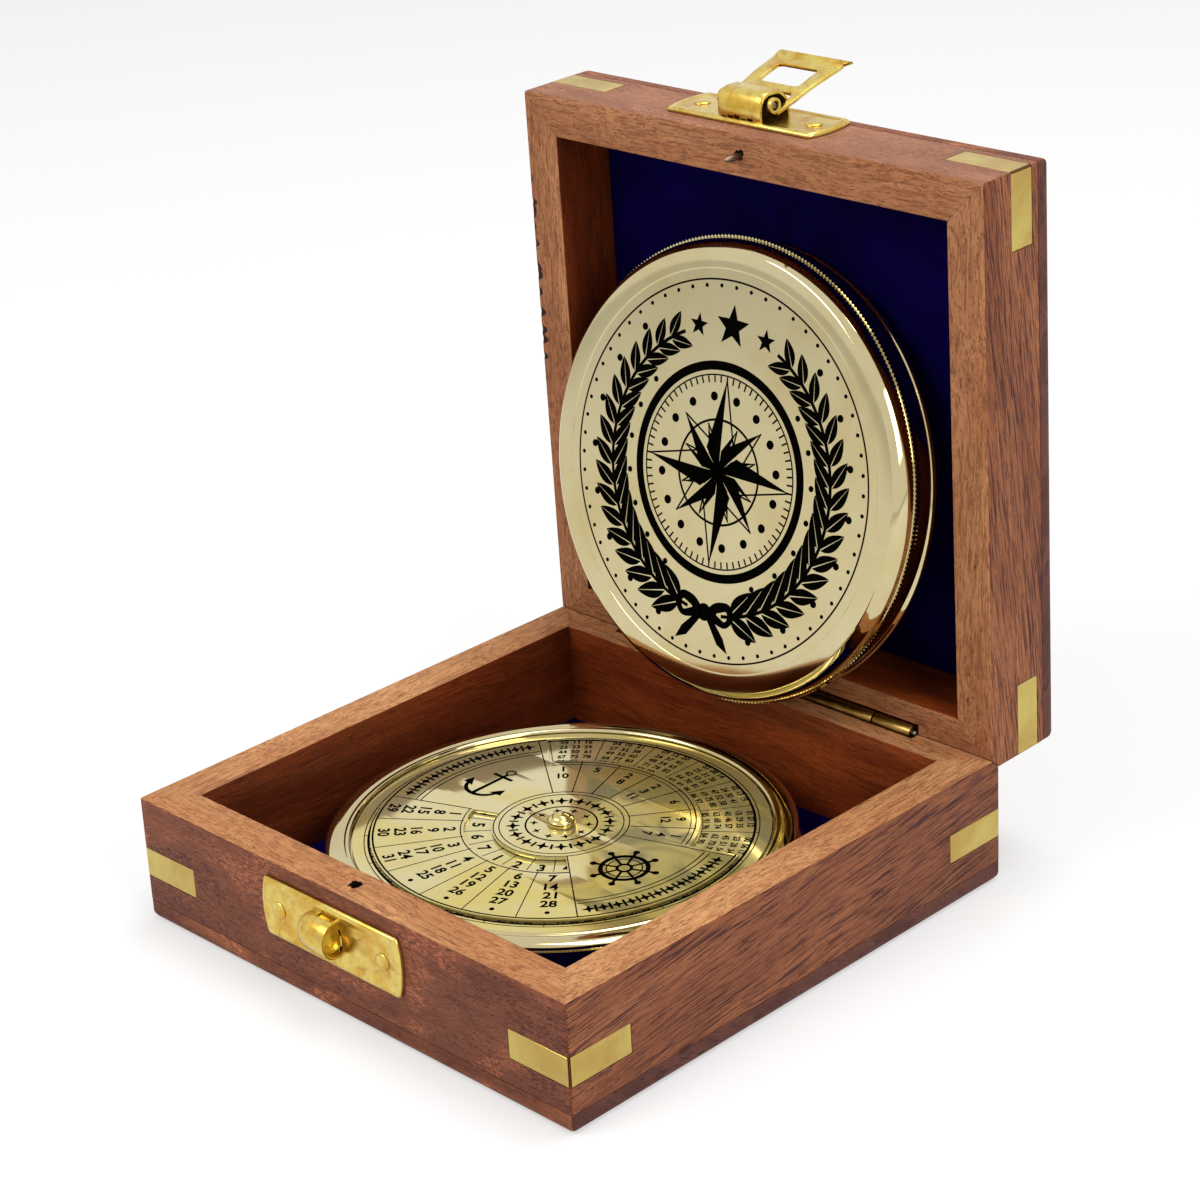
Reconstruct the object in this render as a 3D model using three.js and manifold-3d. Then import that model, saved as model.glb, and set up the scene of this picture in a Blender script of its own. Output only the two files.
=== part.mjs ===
// A pair of brass calendar compasses in their hinged wooden box, in millimetres, +Z up.
// The origin is the middle of the box's underside and the latch is on the -Y side.
// The box stands open: one compass lies in it with its calendar up, and the other stands on the
// rear rim, leaning back into the lid, with its engraved screw lid to the front.
import * as THREE from "three";
import { mergeVertices } from "three/addons/utils/BufferGeometryUtils.js";
import Module from "manifold-3d";

const wasm = await Module();
wasm.setup();

// Driving dimensions of the box
const BOX_WIDTH = 96;
const BOX_DEPTH = 96;
const BASE_HEIGHT = 21.5;
const LID_HEIGHT = 16.5;
const WALL = 7;
const BOTTOM_PANEL = 3.3;
const TOP_PANEL = 3.5;
const PANEL_ROUNDING = 2.2;
const BASE_LINING = 0.5;
const LID_LINING = 1.3;
const GLUE_LINE = 0.1;
const RIM_GAP = 0.05;
const LINING_CLEARANCE = 0.2;
const LID_OPENING_DEG = 89;
const OVERRUN = 4;

// Hinge
const HINGE_SETBACK = 1.75;
const HINGE_STOP_GAP = 0.1;
const BARREL_RADIUS = 1.4;
const BARREL_GROOVE_GAP = 0.35;
const HINGE_PIN_RADIUS = 0.55;
const HINGE_BORE_RADIUS = 0.8;
const HINGE_PIN_END = 0.6;
const KNUCKLE_GAP = 0.3;
const OUTER_KNUCKLE = 7.8;
const INNER_KNUCKLE = 16;
const MIDDLE_KNUCKLE = 16.8;
const LEAF_THICKNESS = 0.7;
const LEAF_DEPTH = 6.5;
const LEAF_SHOULDER_GAP = 0.5;
const KERF_GAP = 0.3;

// Corner inlays
const INLAY_LENGTH = 11.5;
const INLAY_WIDTH = 4.8;
const INLAY_THICKNESS = 0.45;
const INLAY_BED_GAP = 0.05;
const INLAY_EDGE_GAP = 0.1;
const INLAY_FROM_ARRIS = 0.8;
const BASE_INLAY_BELOW_RIM = 11.25;
const LID_INLAY_FROM_PANEL = 1.5;

// Latch
const LATCH_PLATE_LENGTH = 30;
const LATCH_PLATE_END_BULGE = 0.8;
const LATCH_PLATE_WIDTH = 10;
const LATCH_PLATE_CORNER = 1.2;
const LATCH_PLATE_THICKNESS = 0.8;
const LATCH_SEAT_GAP = 0.1;
const BASE_LATCH_X = -1.7;
const BASE_LATCH_BELOW_RIM = 7.5;
const LID_LATCH_X = -3.4;
const LID_LATCH_ABOVE_RIM = 8.4;
const NAIL_SPACING = 23.6;
const NAIL_HEAD_RADIUS = 1.25;
const NAIL_HEAD_HEIGHT = 0.5;
const NAIL_SHANK_RADIUS = 0.6;
const NAIL_HOLE_RADIUS = 0.95;
const NAIL_DEPTH = 4.4;
const NAIL_TIP_GAP = 0.4;
const BASE_BOSS_LENGTH = 10;
const BASE_BOSS_RADIUS = 3;
const BOSS_SHEET = 0.7;
const HOUSING_LENGTH = 9;
const HOUSING_HEIGHT = 3.9;
const HOUSING_FRONT = 2.6;
const HOUSING_BACK = 4.7;
const HOUSING_SHOULDER = 1.8;
const HASP_PIN_ABOVE_RIM = 6.5;
const HASP_PIN_HEIGHT = 2.3;
const HASP_PIN_RADIUS = 0.6;
const HASP_PIN_HOLE_RADIUS = 0.9;
const HASP_KNUCKLE_RADIUS = 1.7;
const HASP_PIN_END = 0.5;
const HASP_SHEET = 0.6;
const HASP_ARM_GAP = 0.2;
const HASP_ARM_WIDTH = 2.3;
const HASP_NECK = 5.2;
const HASP_BRIDGE = 1.8;
const HASP_WINDOW_WIDTH = 8.4;
const HASP_WINDOW_LENGTH = 5;
const HASP_LIP_DEG = 30;
const HASP_REST_DEG = 163;

// Alignment pin between the front rims
const ALIGN_PIN_X = 0;
const ALIGN_PIN_FROM_FRONT = 3.6;
const ALIGN_PIN_RADIUS = 0.6;
const ALIGN_PIN_BEDDED = 5;
const ALIGN_PIN_PROUD = 3;
const ALIGN_PIN_HOLE_RADIUS = 1;
const ALIGN_PIN_HOLE_SPARE = 0.8;

// Compass, measured along its axis from the lip of its screw lid
const COMPASS_THICKNESS = 10;
const COMPASS_SIDE_GAP = 2.7;
const LID_LIP_INSET = 1.2;
const LID_LIP_HALF_WIDTH = 0.5;
const LID_LIP_SLOPE = 0.5;
const LID_FACE_DEPTH = 0.5;
const LID_BORDER_WIDTH = 2.7;
const LID_CENTRE_DEPTH = 0.65;
const LID_CENTRE_SLOPE = 0.15;
const LID_CEILING = 1.7;
const SKIRT_WALL = 1.15;
const SKIRT_SHOULDER = 0.5;
const KNURL_HEIGHT = 0.4;
const KNURL_START = 2.1;
const KNURL_BEVEL = 0.2;
const SKIRT_END = 3.4;
const THREAD_GAP = 0.35;
const NECK_WALL = 1.2;
const NECK_START = 2;
const NECK_STEP = 0.5;
const BODY_START = 3.6;
const FLANGE_OVERHANG = 0.5;
const FLANGE_THICKNESS = 1.4;
const FLANGE_EDGE_ROUND = 0.5;
const FLANGE_CROWN = 1.5;
const BEAD = 0.4;
const RIM_WIDTH = 3.9;
const FLOOR_START = 7.9;
const FLOOR_END = 8.8;
const GLASS_LEDGE = 3.8;
const GLASS_LEDGE_WIDTH = 0.6;
const GLASS_EDGE_GAP = 0.3;
const GLASS_THICKNESS = 0.8;
const GLASS_RING_WIDTH = 0.9;
const GLASS_RING_THICKNESS = 0.6;
const SEAT_GAP = 0.1;
const PLATE_EDGE_GAP = 0.3;
const PLATE_THICKNESS = 0.6;
const PLATE_BORDER_WIDTH = 2.9;
const DISC_THICKNESS = 0.5;
const DISC_RUNNING_GAP = 0.15;
const MONTH_SECTOR_RADIUS = 22;
const MONTH_SECTOR_START_DEG = 20;
const MONTH_SECTOR_END_DEG = 140;
const WINDOW_INNER_RADIUS = 11;
const WINDOW_WIDTH = 4.5;
const WINDOW_START_DEG = 201;
const WINDOW_END_DEG = 319;
const RIVET_RADIUS = 1.2;
const RIVET_HOLE_RADIUS = 1.5;
const RIVET_HEAD_RADIUS = 2.3;
const RIVET_HEAD_HEIGHT = 1.7;
const RIVET_HEAD_EDGE = 0.5;
const RIVET_TAIL_RADIUS = 2;
const RIVET_TAIL_THICKNESS = 0.5;
const CARD_EDGE_GAP = 0.4;
const CARD_THICKNESS = 0.3;
const CARD_HOLE_RADIUS = 2.4;
const PIVOT_FOOT_RADIUS = 0.9;
const PIVOT_NECK_RADIUS = 0.35;
const PIVOT_FOOT_HEIGHT = 0.7;
const PIVOT_HEIGHT = 2.6;
const NEEDLE_END_GAP = 7.6;
const NEEDLE_WIDTH = 3.6;
const NEEDLE_THICKNESS = 0.4;
const NEEDLE_HUB_RADIUS = 1.8;
const NEEDLE_HUB_HEIGHT = 1.4;
const NEEDLE_CUP_DEPTH = 1;
const NEEDLE_CUP_RADIUS = 0.95;
const NEEDLE_CUP_TOP_RADIUS = 0.4;
const NEEDLE_TIP_GAP = 0.3;

// Places of the two compasses in the open box
const LYING_FRONT_GAP = 0.8;
const STANDING_SIDE_GAP = 1.2;
const STANDING_LINING_GAP = 0.385;
const STANDING_ON_RIM = 0.4;

// Facets
const ROUND_SIDES = 64;
const INNER_SIDES = 40;
const SMALL_SIDES = 16;
const DOME_STEPS = 4;
const ARCH_STEPS = 8;

// Places worked out from the sizes above
const HALF_WIDTH = BOX_WIDTH / 2;
const HALF_DEPTH = BOX_DEPTH / 2;
const INNER_X = HALF_WIDTH - WALL;
const INNER_Y = HALF_DEPTH - WALL;
const CLOSED_HEIGHT = BASE_HEIGHT + LID_HEIGHT;
const LID_WALL_TOP = CLOSED_HEIGHT - TOP_PANEL - GLUE_LINE;
const LID_INLAY_LEVEL = LID_WALL_TOP - LID_INLAY_FROM_PANEL - INLAY_WIDTH / 2;
const HINGE_Y = HALF_DEPTH - HINGE_SETBACK;
const BASE_FLOOR = BOTTOM_PANEL + GLUE_LINE + BASE_LINING;
const QUARTER_TURN_DEG = 90;
const HALF_TURN_DEG = 180;

// Compass radii, from the narrower way across the tray inwards
const KNURL_RADIUS = Math.min(INNER_X, INNER_Y) - COMPASS_SIDE_GAP;
const SKIRT_RADIUS = KNURL_RADIUS - KNURL_HEIGHT;
const LID_LIP_RADIUS = SKIRT_RADIUS - LID_LIP_INSET;
const LID_FACE_RADIUS = LID_LIP_RADIUS - LID_LIP_HALF_WIDTH - LID_LIP_SLOPE;
const LID_CENTRE_RADIUS = LID_FACE_RADIUS - LID_BORDER_WIDTH;
const NECK_RADIUS = SKIRT_RADIUS - SKIRT_WALL - THREAD_GAP;
const BODY_RADIUS = NECK_RADIUS + NECK_STEP;
const FLANGE_RADIUS = BODY_RADIUS + FLANGE_OVERHANG;
const RECESS_RADIUS = FLANGE_RADIUS - RIM_WIDTH;
const GLASS_BORE_RADIUS = NECK_RADIUS - NECK_WALL;
const GLASS_RADIUS = GLASS_BORE_RADIUS - GLASS_EDGE_GAP;
const BOWL_INNER_RADIUS = GLASS_BORE_RADIUS - GLASS_LEDGE_WIDTH;
const CARD_RADIUS = BOWL_INNER_RADIUS - CARD_EDGE_GAP;
const NEEDLE_LENGTH = 2 * (BOWL_INNER_RADIUS - NEEDLE_END_GAP);
const PLATE_RADIUS = RECESS_RADIUS - PLATE_EDGE_GAP;
const DISC_RADIUS = PLATE_RADIUS - PLATE_BORDER_WIDTH;
const WINDOW_OUTER_RADIUS = WINDOW_INNER_RADIUS + WINDOW_WIDTH;

// Places of the two compasses
const LYING_Y = KNURL_RADIUS + LYING_FRONT_GAP - INNER_Y;
const STANDING_X = FLANGE_RADIUS + STANDING_SIDE_GAP - INNER_X;
const OUTWARD = new THREE.Vector3(0, 0, 1);

function radians(degrees) {
  return THREE.MathUtils.degToRad(degrees);
}

// Turns a closed geometry into a solid that can be joined and cut
function solidOf(geometry) {
  const bare = geometry.clone();
  bare.deleteAttribute("normal");
  bare.deleteAttribute("uv");
  const merged = mergeVertices(bare);
  const corners = Array.from(merged.index.array);
  const kept = [];
  for (let i = 0; i < corners.length; i += 3) {
    const [a, b, c] = corners.slice(i, i + 3);
    if (a !== b && b !== c && c !== a) kept.push(a, b, c);
  }
  const mesh = new wasm.Mesh({
    numProp: 3,
    vertProperties: merged.attributes.position.array,
    triVerts: new Uint32Array(kept),
  });
  return new wasm.Manifold(mesh);
}

function geometryOf(solid) {
  const mesh = solid.getMesh();
  const geometry = new THREE.BufferGeometry();
  geometry.setAttribute("position", new THREE.BufferAttribute(mesh.vertProperties, 3));
  geometry.setIndex(new THREE.BufferAttribute(mesh.triVerts, 1));
  geometry.computeVertexNormals();
  return geometry;
}

function join(solids) {
  return solids.reduce((whole, solid) => whole.add(solid));
}

function cut(solid, tools) {
  return tools.reduce((rest, tool) => rest.subtract(tool), solid);
}

// A straight prism: each axis name says which way the outline's depth runs
const PRISM_BASES = {
  x: new THREE.Matrix4().makeBasis(
    new THREE.Vector3(0, 1, 0),
    new THREE.Vector3(0, 0, 1),
    new THREE.Vector3(1, 0, 0),
  ),
  y: new THREE.Matrix4().makeBasis(
    new THREE.Vector3(0, 0, 1),
    new THREE.Vector3(1, 0, 0),
    new THREE.Vector3(0, 1, 0),
  ),
  z: new THREE.Matrix4(),
};

function shapeOf(points) {
  return new THREE.Shape(points.map(([a, b]) => new THREE.Vector2(a, b)));
}

function prism(axis, outline, from, to, holes = []) {
  const shape = Array.isArray(outline) ? shapeOf(outline) : outline;
  shape.holes.push(...holes);
  const geometry = new THREE.ExtrudeGeometry(shape, {
    depth: to - from,
    bevelEnabled: false,
    curveSegments: ARCH_STEPS,
  });
  geometry.translate(0, 0, from);
  geometry.applyMatrix4(PRISM_BASES[axis]);
  return solidOf(geometry);
}

function block(x0, x1, y0, y1, z0, z1) {
  const geometry = new THREE.BoxGeometry(x1 - x0, y1 - y0, z1 - z0);
  geometry.translate((x0 + x1) / 2, (y0 + y1) / 2, (z0 + z1) / 2);
  return solidOf(geometry);
}

// A solid of revolution about Z from [radius, height] points, given with height rising outside
function turned(profile, sides = ROUND_SIDES) {
  const points = profile.map(([radius, height]) => new THREE.Vector2(radius, height));
  const geometry = new THREE.LatheGeometry(points, sides);
  geometry.rotateX(Math.PI / 2);
  return solidOf(geometry);
}

// A round rod between two points
function rod(radius, from, to, sides = SMALL_SIDES) {
  const start = new THREE.Vector3(...from);
  const way = new THREE.Vector3(...to).sub(start);
  const geometry = new THREE.CylinderGeometry(radius, radius, way.length(), sides);
  geometry.rotateX(Math.PI / 2);
  geometry.applyQuaternion(new THREE.Quaternion().setFromUnitVectors(OUTWARD, way.clone().normalize()));
  geometry.translate(...start.addScaledVector(way, 1 / 2).toArray());
  return solidOf(geometry);
}

function arcPoints(centre, radius, startDeg, endDeg, steps) {
  return Array.from({ length: steps + 1 }, (_, i) => {
    const turn = radians(startDeg + ((endDeg - startDeg) * i) / steps);
    return [centre[0] + radius * Math.cos(turn), centre[1] + radius * Math.sin(turn)];
  });
}

const FINISHES = {
  wood: { color: 0x8a5034, roughness: 0.45, metalness: 0 },
  rim: { color: 0xb8774e, roughness: 0.6, metalness: 0 },
  velvet: { color: 0x120540, roughness: 0.95, metalness: 0 },
  inlay: { color: 0xcfbd6c, roughness: 0.35, metalness: 1 },
  latch: { color: 0xe0c550, roughness: 0.25, metalness: 1 },
  hinge: { color: 0xa8843c, roughness: 0.4, metalness: 1 },
  steel: { color: 0x8c8478, roughness: 0.4, metalness: 1 },
  brass: { color: 0xd9c98c, roughness: 0.12, metalness: 1 },
  card: { color: 0xf2ecda, roughness: 0.7, metalness: 0 },
  needle: { color: 0x29406b, roughness: 0.3, metalness: 1 },
  glass: { color: 0xeef4f4, roughness: 0.05, metalness: 0 },
};

function piece(name, solid, finish) {
  const mesh = new THREE.Mesh(geometryOf(solid), new THREE.MeshStandardMaterial(FINISHES[finish]));
  mesh.name = name;
  return mesh;
}

// Wooden box, drawn closed: the same functions make the base and the lid

// Four mitred walls between two heights; the cuts are applied to each wall that they reach
function mitredWalls(low, high, cuts) {
  const inset = GLUE_LINE / Math.SQRT2;
  const outerX = HALF_WIDTH - inset;
  const innerX = INNER_X - inset;
  const outerY = HALF_DEPTH - inset;
  const innerY = INNER_Y - inset;
  const outlines = {
    front: [[-outerX, -HALF_DEPTH], [outerX, -HALF_DEPTH], [innerX, -INNER_Y], [-innerX, -INNER_Y]],
    rear: [[-innerX, INNER_Y], [innerX, INNER_Y], [outerX, HALF_DEPTH], [-outerX, HALF_DEPTH]],
    left: [[-HALF_WIDTH, -outerY], [-INNER_X, -innerY], [-INNER_X, innerY], [-HALF_WIDTH, outerY]],
    right: [[INNER_X, -innerY], [HALF_WIDTH, -outerY], [HALF_WIDTH, outerY], [INNER_X, innerY]],
  };
  const walls = {};
  for (const [side, outline] of Object.entries(outlines)) {
    walls[side] = cut(prism("z", outline, low, high), cuts[side]);
  }
  return walls;
}

// A panel as large as the box, with its outer edges rounded over on the side away from the box
function roundedPanel(low, high, roundedAtTop) {
  const outline = (half) => {
    const edge = roundedAtTop ? high : low;
    const inward = roundedAtTop ? edge - PANEL_ROUNDING : edge + PANEL_ROUNDING;
    const plain = roundedAtTop ? low : high;
    const start = roundedAtTop ? 0 : -QUARTER_TURN_DEG;
    const end = start + QUARTER_TURN_DEG;
    const right = arcPoints([half - PANEL_ROUNDING, inward], PANEL_ROUNDING, start, end, DOME_STEPS);
    const left = right.map(([a, b]) => [-a, b]).reverse();
    return roundedAtTop
      ? [[half, plain], ...right, ...left, [-half, plain]]
      : [...right, [half, plain], [-half, plain], ...left];
  };
  const across = prism("x", outline(HALF_DEPTH), -HALF_WIDTH, HALF_WIDTH);
  const swapped = outline(HALF_WIDTH).map(([a, b]) => [b, a]);
  const along = prism("y", swapped, -HALF_DEPTH, HALF_DEPTH);
  return across.intersect(along);
}

// One inlay strip or the bed cut for it, on a named face near a named end of it
function inlayBlock(face, end, height, grow, depth) {
  const near = INLAY_FROM_ARRIS - grow;
  const far = INLAY_FROM_ARRIS + INLAY_LENGTH + grow;
  const low = height - INLAY_WIDTH / 2 - grow;
  const high = height + INLAY_WIDTH / 2 + grow;
  const over = grow > 0 ? OVERRUN : 0;
  const alongX = face === "front" || face === "rear";
  const half = alongX ? HALF_WIDTH : HALF_DEPTH;
  const faceHalf = alongX ? HALF_DEPTH : HALF_WIDTH;
  const spanSign = end === "right" || end === "rear" ? 1 : -1;
  const faceSign = face === "rear" || face === "right" ? 1 : -1;
  const span = [spanSign * (half - near), spanSign * (half - far)].sort((a, b) => a - b);
  const skin = [faceSign * (faceHalf - depth), faceSign * (faceHalf + over)].sort((a, b) => a - b);
  return alongX ? block(...span, ...skin, low, high) : block(...skin, ...span, low, high);
}

const INLAY_PLACES = [
  ["front", "left"],
  ["front", "right"],
  ["right", "front"],
  ["right", "rear"],
  ["rear", "right"],
  ["rear", "left"],
  ["left", "rear"],
  ["left", "front"],
];

function inlayStrips(prefix, height) {
  return INLAY_PLACES.map(([face, end]) =>
    piece(`${prefix}_inlay_${face}_${end}`, inlayBlock(face, end, height, 0, INLAY_THICKNESS), "inlay"),
  );
}

function inlayBeds(height, face) {
  return INLAY_PLACES.filter(([name]) => name === face).map(([name, end]) =>
    inlayBlock(name, end, height, INLAY_EDGE_GAP, INLAY_THICKNESS + INLAY_BED_GAP),
  );
}

// Hinge: five knuckles on one pin, each leaf let into a saw kerf in its rear wall

const HINGE_HALF = MIDDLE_KNUCKLE / 2 + INNER_KNUCKLE + OUTER_KNUCKLE;

function knuckleSpans() {
  const middle = MIDDLE_KNUCKLE / 2;
  const inner = middle + INNER_KNUCKLE;
  const gap = KNUCKLE_GAP / 2;
  const lid = [[-inner + gap, -middle - gap], [middle + gap, inner - gap]];
  const base = [[-HINGE_HALF, -inner - gap], [-middle + gap, middle - gap], [inner + gap, HINGE_HALF]];
  return { base, lid };
}

function barrelAt(radius, x0, x1, sides) {
  return rod(radius, [x0, HINGE_Y, BASE_HEIGHT], [x1, HINGE_Y, BASE_HEIGHT], sides);
}

// The leaf goes down from the axis for the base and up for the lid
function hingeLeaf(spans, upwards) {
  const way = upwards ? 1 : -1;
  const half = LEAF_THICKNESS / 2;
  const shoulder = BASE_HEIGHT + way * (BARREL_RADIUS + LEAF_SHOULDER_GAP);
  const foot = BASE_HEIGHT + way * LEAF_DEPTH;
  const levels = (a, b) => [Math.min(a, b), Math.max(a, b)];
  const blade = block(
    -HINGE_HALF,
    HINGE_HALF,
    HINGE_Y - half,
    HINGE_Y + half,
    ...levels(shoulder, foot),
  );
  const webs = spans.map(([x0, x1]) =>
    block(x0, x1, HINGE_Y - half, HINGE_Y + half, ...levels(BASE_HEIGHT, shoulder)),
  );
  const knuckles = spans.map(([x0, x1]) => barrelAt(BARREL_RADIUS, x0, x1, SMALL_SIDES));
  const bore = barrelAt(HINGE_BORE_RADIUS, -HINGE_HALF - OVERRUN, HINGE_HALF + OVERRUN, SMALL_SIDES);
  return join([blade, ...webs, ...knuckles]).subtract(bore);
}

// Groove and kerf that the hinge lies in; one cut serves both rear walls
function hingeCuts() {
  const groove = BARREL_RADIUS + BARREL_GROOVE_GAP;
  const reach = HINGE_HALF + HINGE_PIN_END + BARREL_GROOVE_GAP;
  const kerfHalf = LEAF_THICKNESS / 2 + KERF_GAP;
  const kerfDepth = LEAF_DEPTH + KERF_GAP;
  const kerf = block(
    -HINGE_HALF - KERF_GAP,
    HINGE_HALF + KERF_GAP,
    HINGE_Y - kerfHalf,
    HINGE_Y + kerfHalf,
    BASE_HEIGHT - kerfDepth,
    BASE_HEIGHT + kerfDepth,
  );
  return [barrelAt(groove, -reach, reach, SMALL_SIDES), kerf];
}

// The rear arrises are cut back at 45 degrees, and meet as the lid's stop when it stands open
function stopChamfer() {
  const out = HINGE_SETBACK + OVERRUN;
  const outline = [
    [HINGE_Y - HINGE_STOP_GAP, BASE_HEIGHT],
    [HINGE_Y - HINGE_STOP_GAP + out, BASE_HEIGHT - out],
    [HINGE_Y - HINGE_STOP_GAP + out, BASE_HEIGHT + out],
  ];
  return prism("x", outline, -HALF_WIDTH - OVERRUN, HALF_WIDTH + OVERRUN);
}

// Latch: two stamped plates, a swinging hasp and its pin

// A plate with slightly bowed ends and clipped corners, as [x, z] points about its own centre
function latchPlateOutline() {
  const half = LATCH_PLATE_LENGTH / 2;
  const rise = LATCH_PLATE_WIDTH / 2;
  const clip = LATCH_PLATE_CORNER;
  return [
    [-half + clip, -rise],
    [half - clip, -rise],
    [half, clip - rise],
    [half + LATCH_PLATE_END_BULGE, 0],
    [half, rise - clip],
    [half - clip, rise],
    [-half + clip, rise],
    [-half, rise - clip],
    [-half - LATCH_PLATE_END_BULGE, 0],
    [-half, clip - rise],
  ];
}

const PLATE_BACK_Y = -HALF_DEPTH - LATCH_SEAT_GAP;
const PLATE_FACE_Y = PLATE_BACK_Y - LATCH_PLATE_THICKNESS;

function nailCentres(x, z) {
  return [-1, 1].map((side) => [x + (side * NAIL_SPACING) / 2, z]);
}

function latchNailHoles(x, z) {
  return nailCentres(x, z).map(([nx, nz]) =>
    rod(
      NAIL_HOLE_RADIUS,
      [nx, PLATE_FACE_Y - OVERRUN, nz],
      [nx, -HALF_DEPTH + NAIL_DEPTH + NAIL_TIP_GAP, nz],
      SMALL_SIDES,
    ),
  );
}

// A nail with a low domed head, turned about its own axis and laid along Y
function latchNail([x, z]) {
  const seat = PLATE_FACE_Y - SEAT_GAP;
  const profile = [[0, 0]];
  for (let i = 1; i <= DOME_STEPS; i++) {
    const turn = (Math.PI / 2) * (i / DOME_STEPS);
    profile.push([NAIL_HEAD_RADIUS * Math.sin(turn), NAIL_HEAD_HEIGHT * (1 - Math.cos(turn))]);
  }
  const length = NAIL_HEAD_HEIGHT - seat - HALF_DEPTH + NAIL_DEPTH;
  profile.push([NAIL_SHANK_RADIUS, NAIL_HEAD_HEIGHT]);
  profile.push([NAIL_SHANK_RADIUS, length - NAIL_SHANK_RADIUS]);
  profile.push([0, length]);
  const points = profile.map(([radius, height]) => new THREE.Vector2(radius, height));
  const geometry = new THREE.LatheGeometry(points, SMALL_SIDES);
  geometry.translate(x, seat - NAIL_HEAD_HEIGHT, z);
  return solidOf(geometry);
}

// A strip of sheet bent to an outline in [y, z] points, open at its ends
function bentSheet(outer, inner, x0, x1) {
  return prism("x", [...outer, ...inner.slice().reverse()], x0, x1);
}

// The base's plate carries a stamped half barrel that the hasp's lip drops over
function baseLatchPlate() {
  const z = BASE_HEIGHT - BASE_LATCH_BELOW_RIM;
  const outline = latchPlateOutline().map(([px, pz]) => [pz + z, px + BASE_LATCH_X]);
  const plate = prism("y", outline, PLATE_FACE_Y, PLATE_BACK_Y);
  const half = BASE_BOSS_LENGTH / 2;
  const centre = [PLATE_FACE_Y, z];
  const arch = [QUARTER_TURN_DEG, QUARTER_TURN_DEG + HALF_TURN_DEG, ARCH_STEPS];
  const outer = arcPoints(centre, BASE_BOSS_RADIUS, ...arch);
  const inner = arcPoints(centre, BASE_BOSS_RADIUS - BOSS_SHEET, ...arch);
  const into = (points) => [
    [PLATE_FACE_Y + LATCH_PLATE_THICKNESS / 2, points[0][1]],
    ...points,
    [PLATE_FACE_Y + LATCH_PLATE_THICKNESS / 2, points[points.length - 1][1]],
  ];
  const boss = bentSheet(into(outer), into(inner), BASE_LATCH_X - half, BASE_LATCH_X + half);
  return cut(join([plate, boss]), latchNailHoles(BASE_LATCH_X, z));
}

const LID_LATCH_Z = BASE_HEIGHT + LID_LATCH_ABOVE_RIM;
const HASP_AXIS_Z = BASE_HEIGHT + HASP_PIN_ABOVE_RIM;
const HASP_AXIS_Y = PLATE_FACE_Y - HASP_PIN_HEIGHT;
const HASP_HALF = HOUSING_LENGTH / 2 + HASP_ARM_GAP + HASP_ARM_WIDTH;

// The lid's plate carries a raised housing that the hasp's pin runs through
function lidLatchPlate() {
  const outline = latchPlateOutline().map(([px, pz]) => [pz + LID_LATCH_Z, px + LID_LATCH_X]);
  const plate = prism("y", outline, PLATE_FACE_Y, PLATE_BACK_Y);
  const half = HOUSING_LENGTH / 2;
  const hood = (inset) => {
    const front = HASP_AXIS_Z - HOUSING_FRONT + inset;
    const back = HASP_AXIS_Z + HOUSING_BACK - inset;
    const top = PLATE_FACE_Y - HOUSING_HEIGHT + inset;
    return [
      [PLATE_FACE_Y + LATCH_PLATE_THICKNESS / 2, front],
      [top + HOUSING_SHOULDER, front],
      [top + HOUSING_SHOULDER / 4, front + HOUSING_SHOULDER / 4],
      [top, front + HOUSING_SHOULDER],
      [top, back - HOUSING_SHOULDER],
      [top + HOUSING_SHOULDER / 4, back - HOUSING_SHOULDER / 4],
      [top + HOUSING_SHOULDER, back],
      [PLATE_FACE_Y + LATCH_PLATE_THICKNESS / 2, back],
    ];
  };
  const housing = bentSheet(hood(0), hood(BOSS_SHEET), LID_LATCH_X - half, LID_LATCH_X + half);
  return cut(join([plate, housing]), latchNailHoles(LID_LATCH_X, LID_LATCH_Z));
}

function haspPin() {
  const half = HASP_HALF + HASP_PIN_END;
  return rod(
    HASP_PIN_RADIUS,
    [LID_LATCH_X - half, HASP_AXIS_Y, HASP_AXIS_Z],
    [LID_LATCH_X + half, HASP_AXIS_Y, HASP_AXIS_Z],
    SMALL_SIDES,
  );
}

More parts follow.
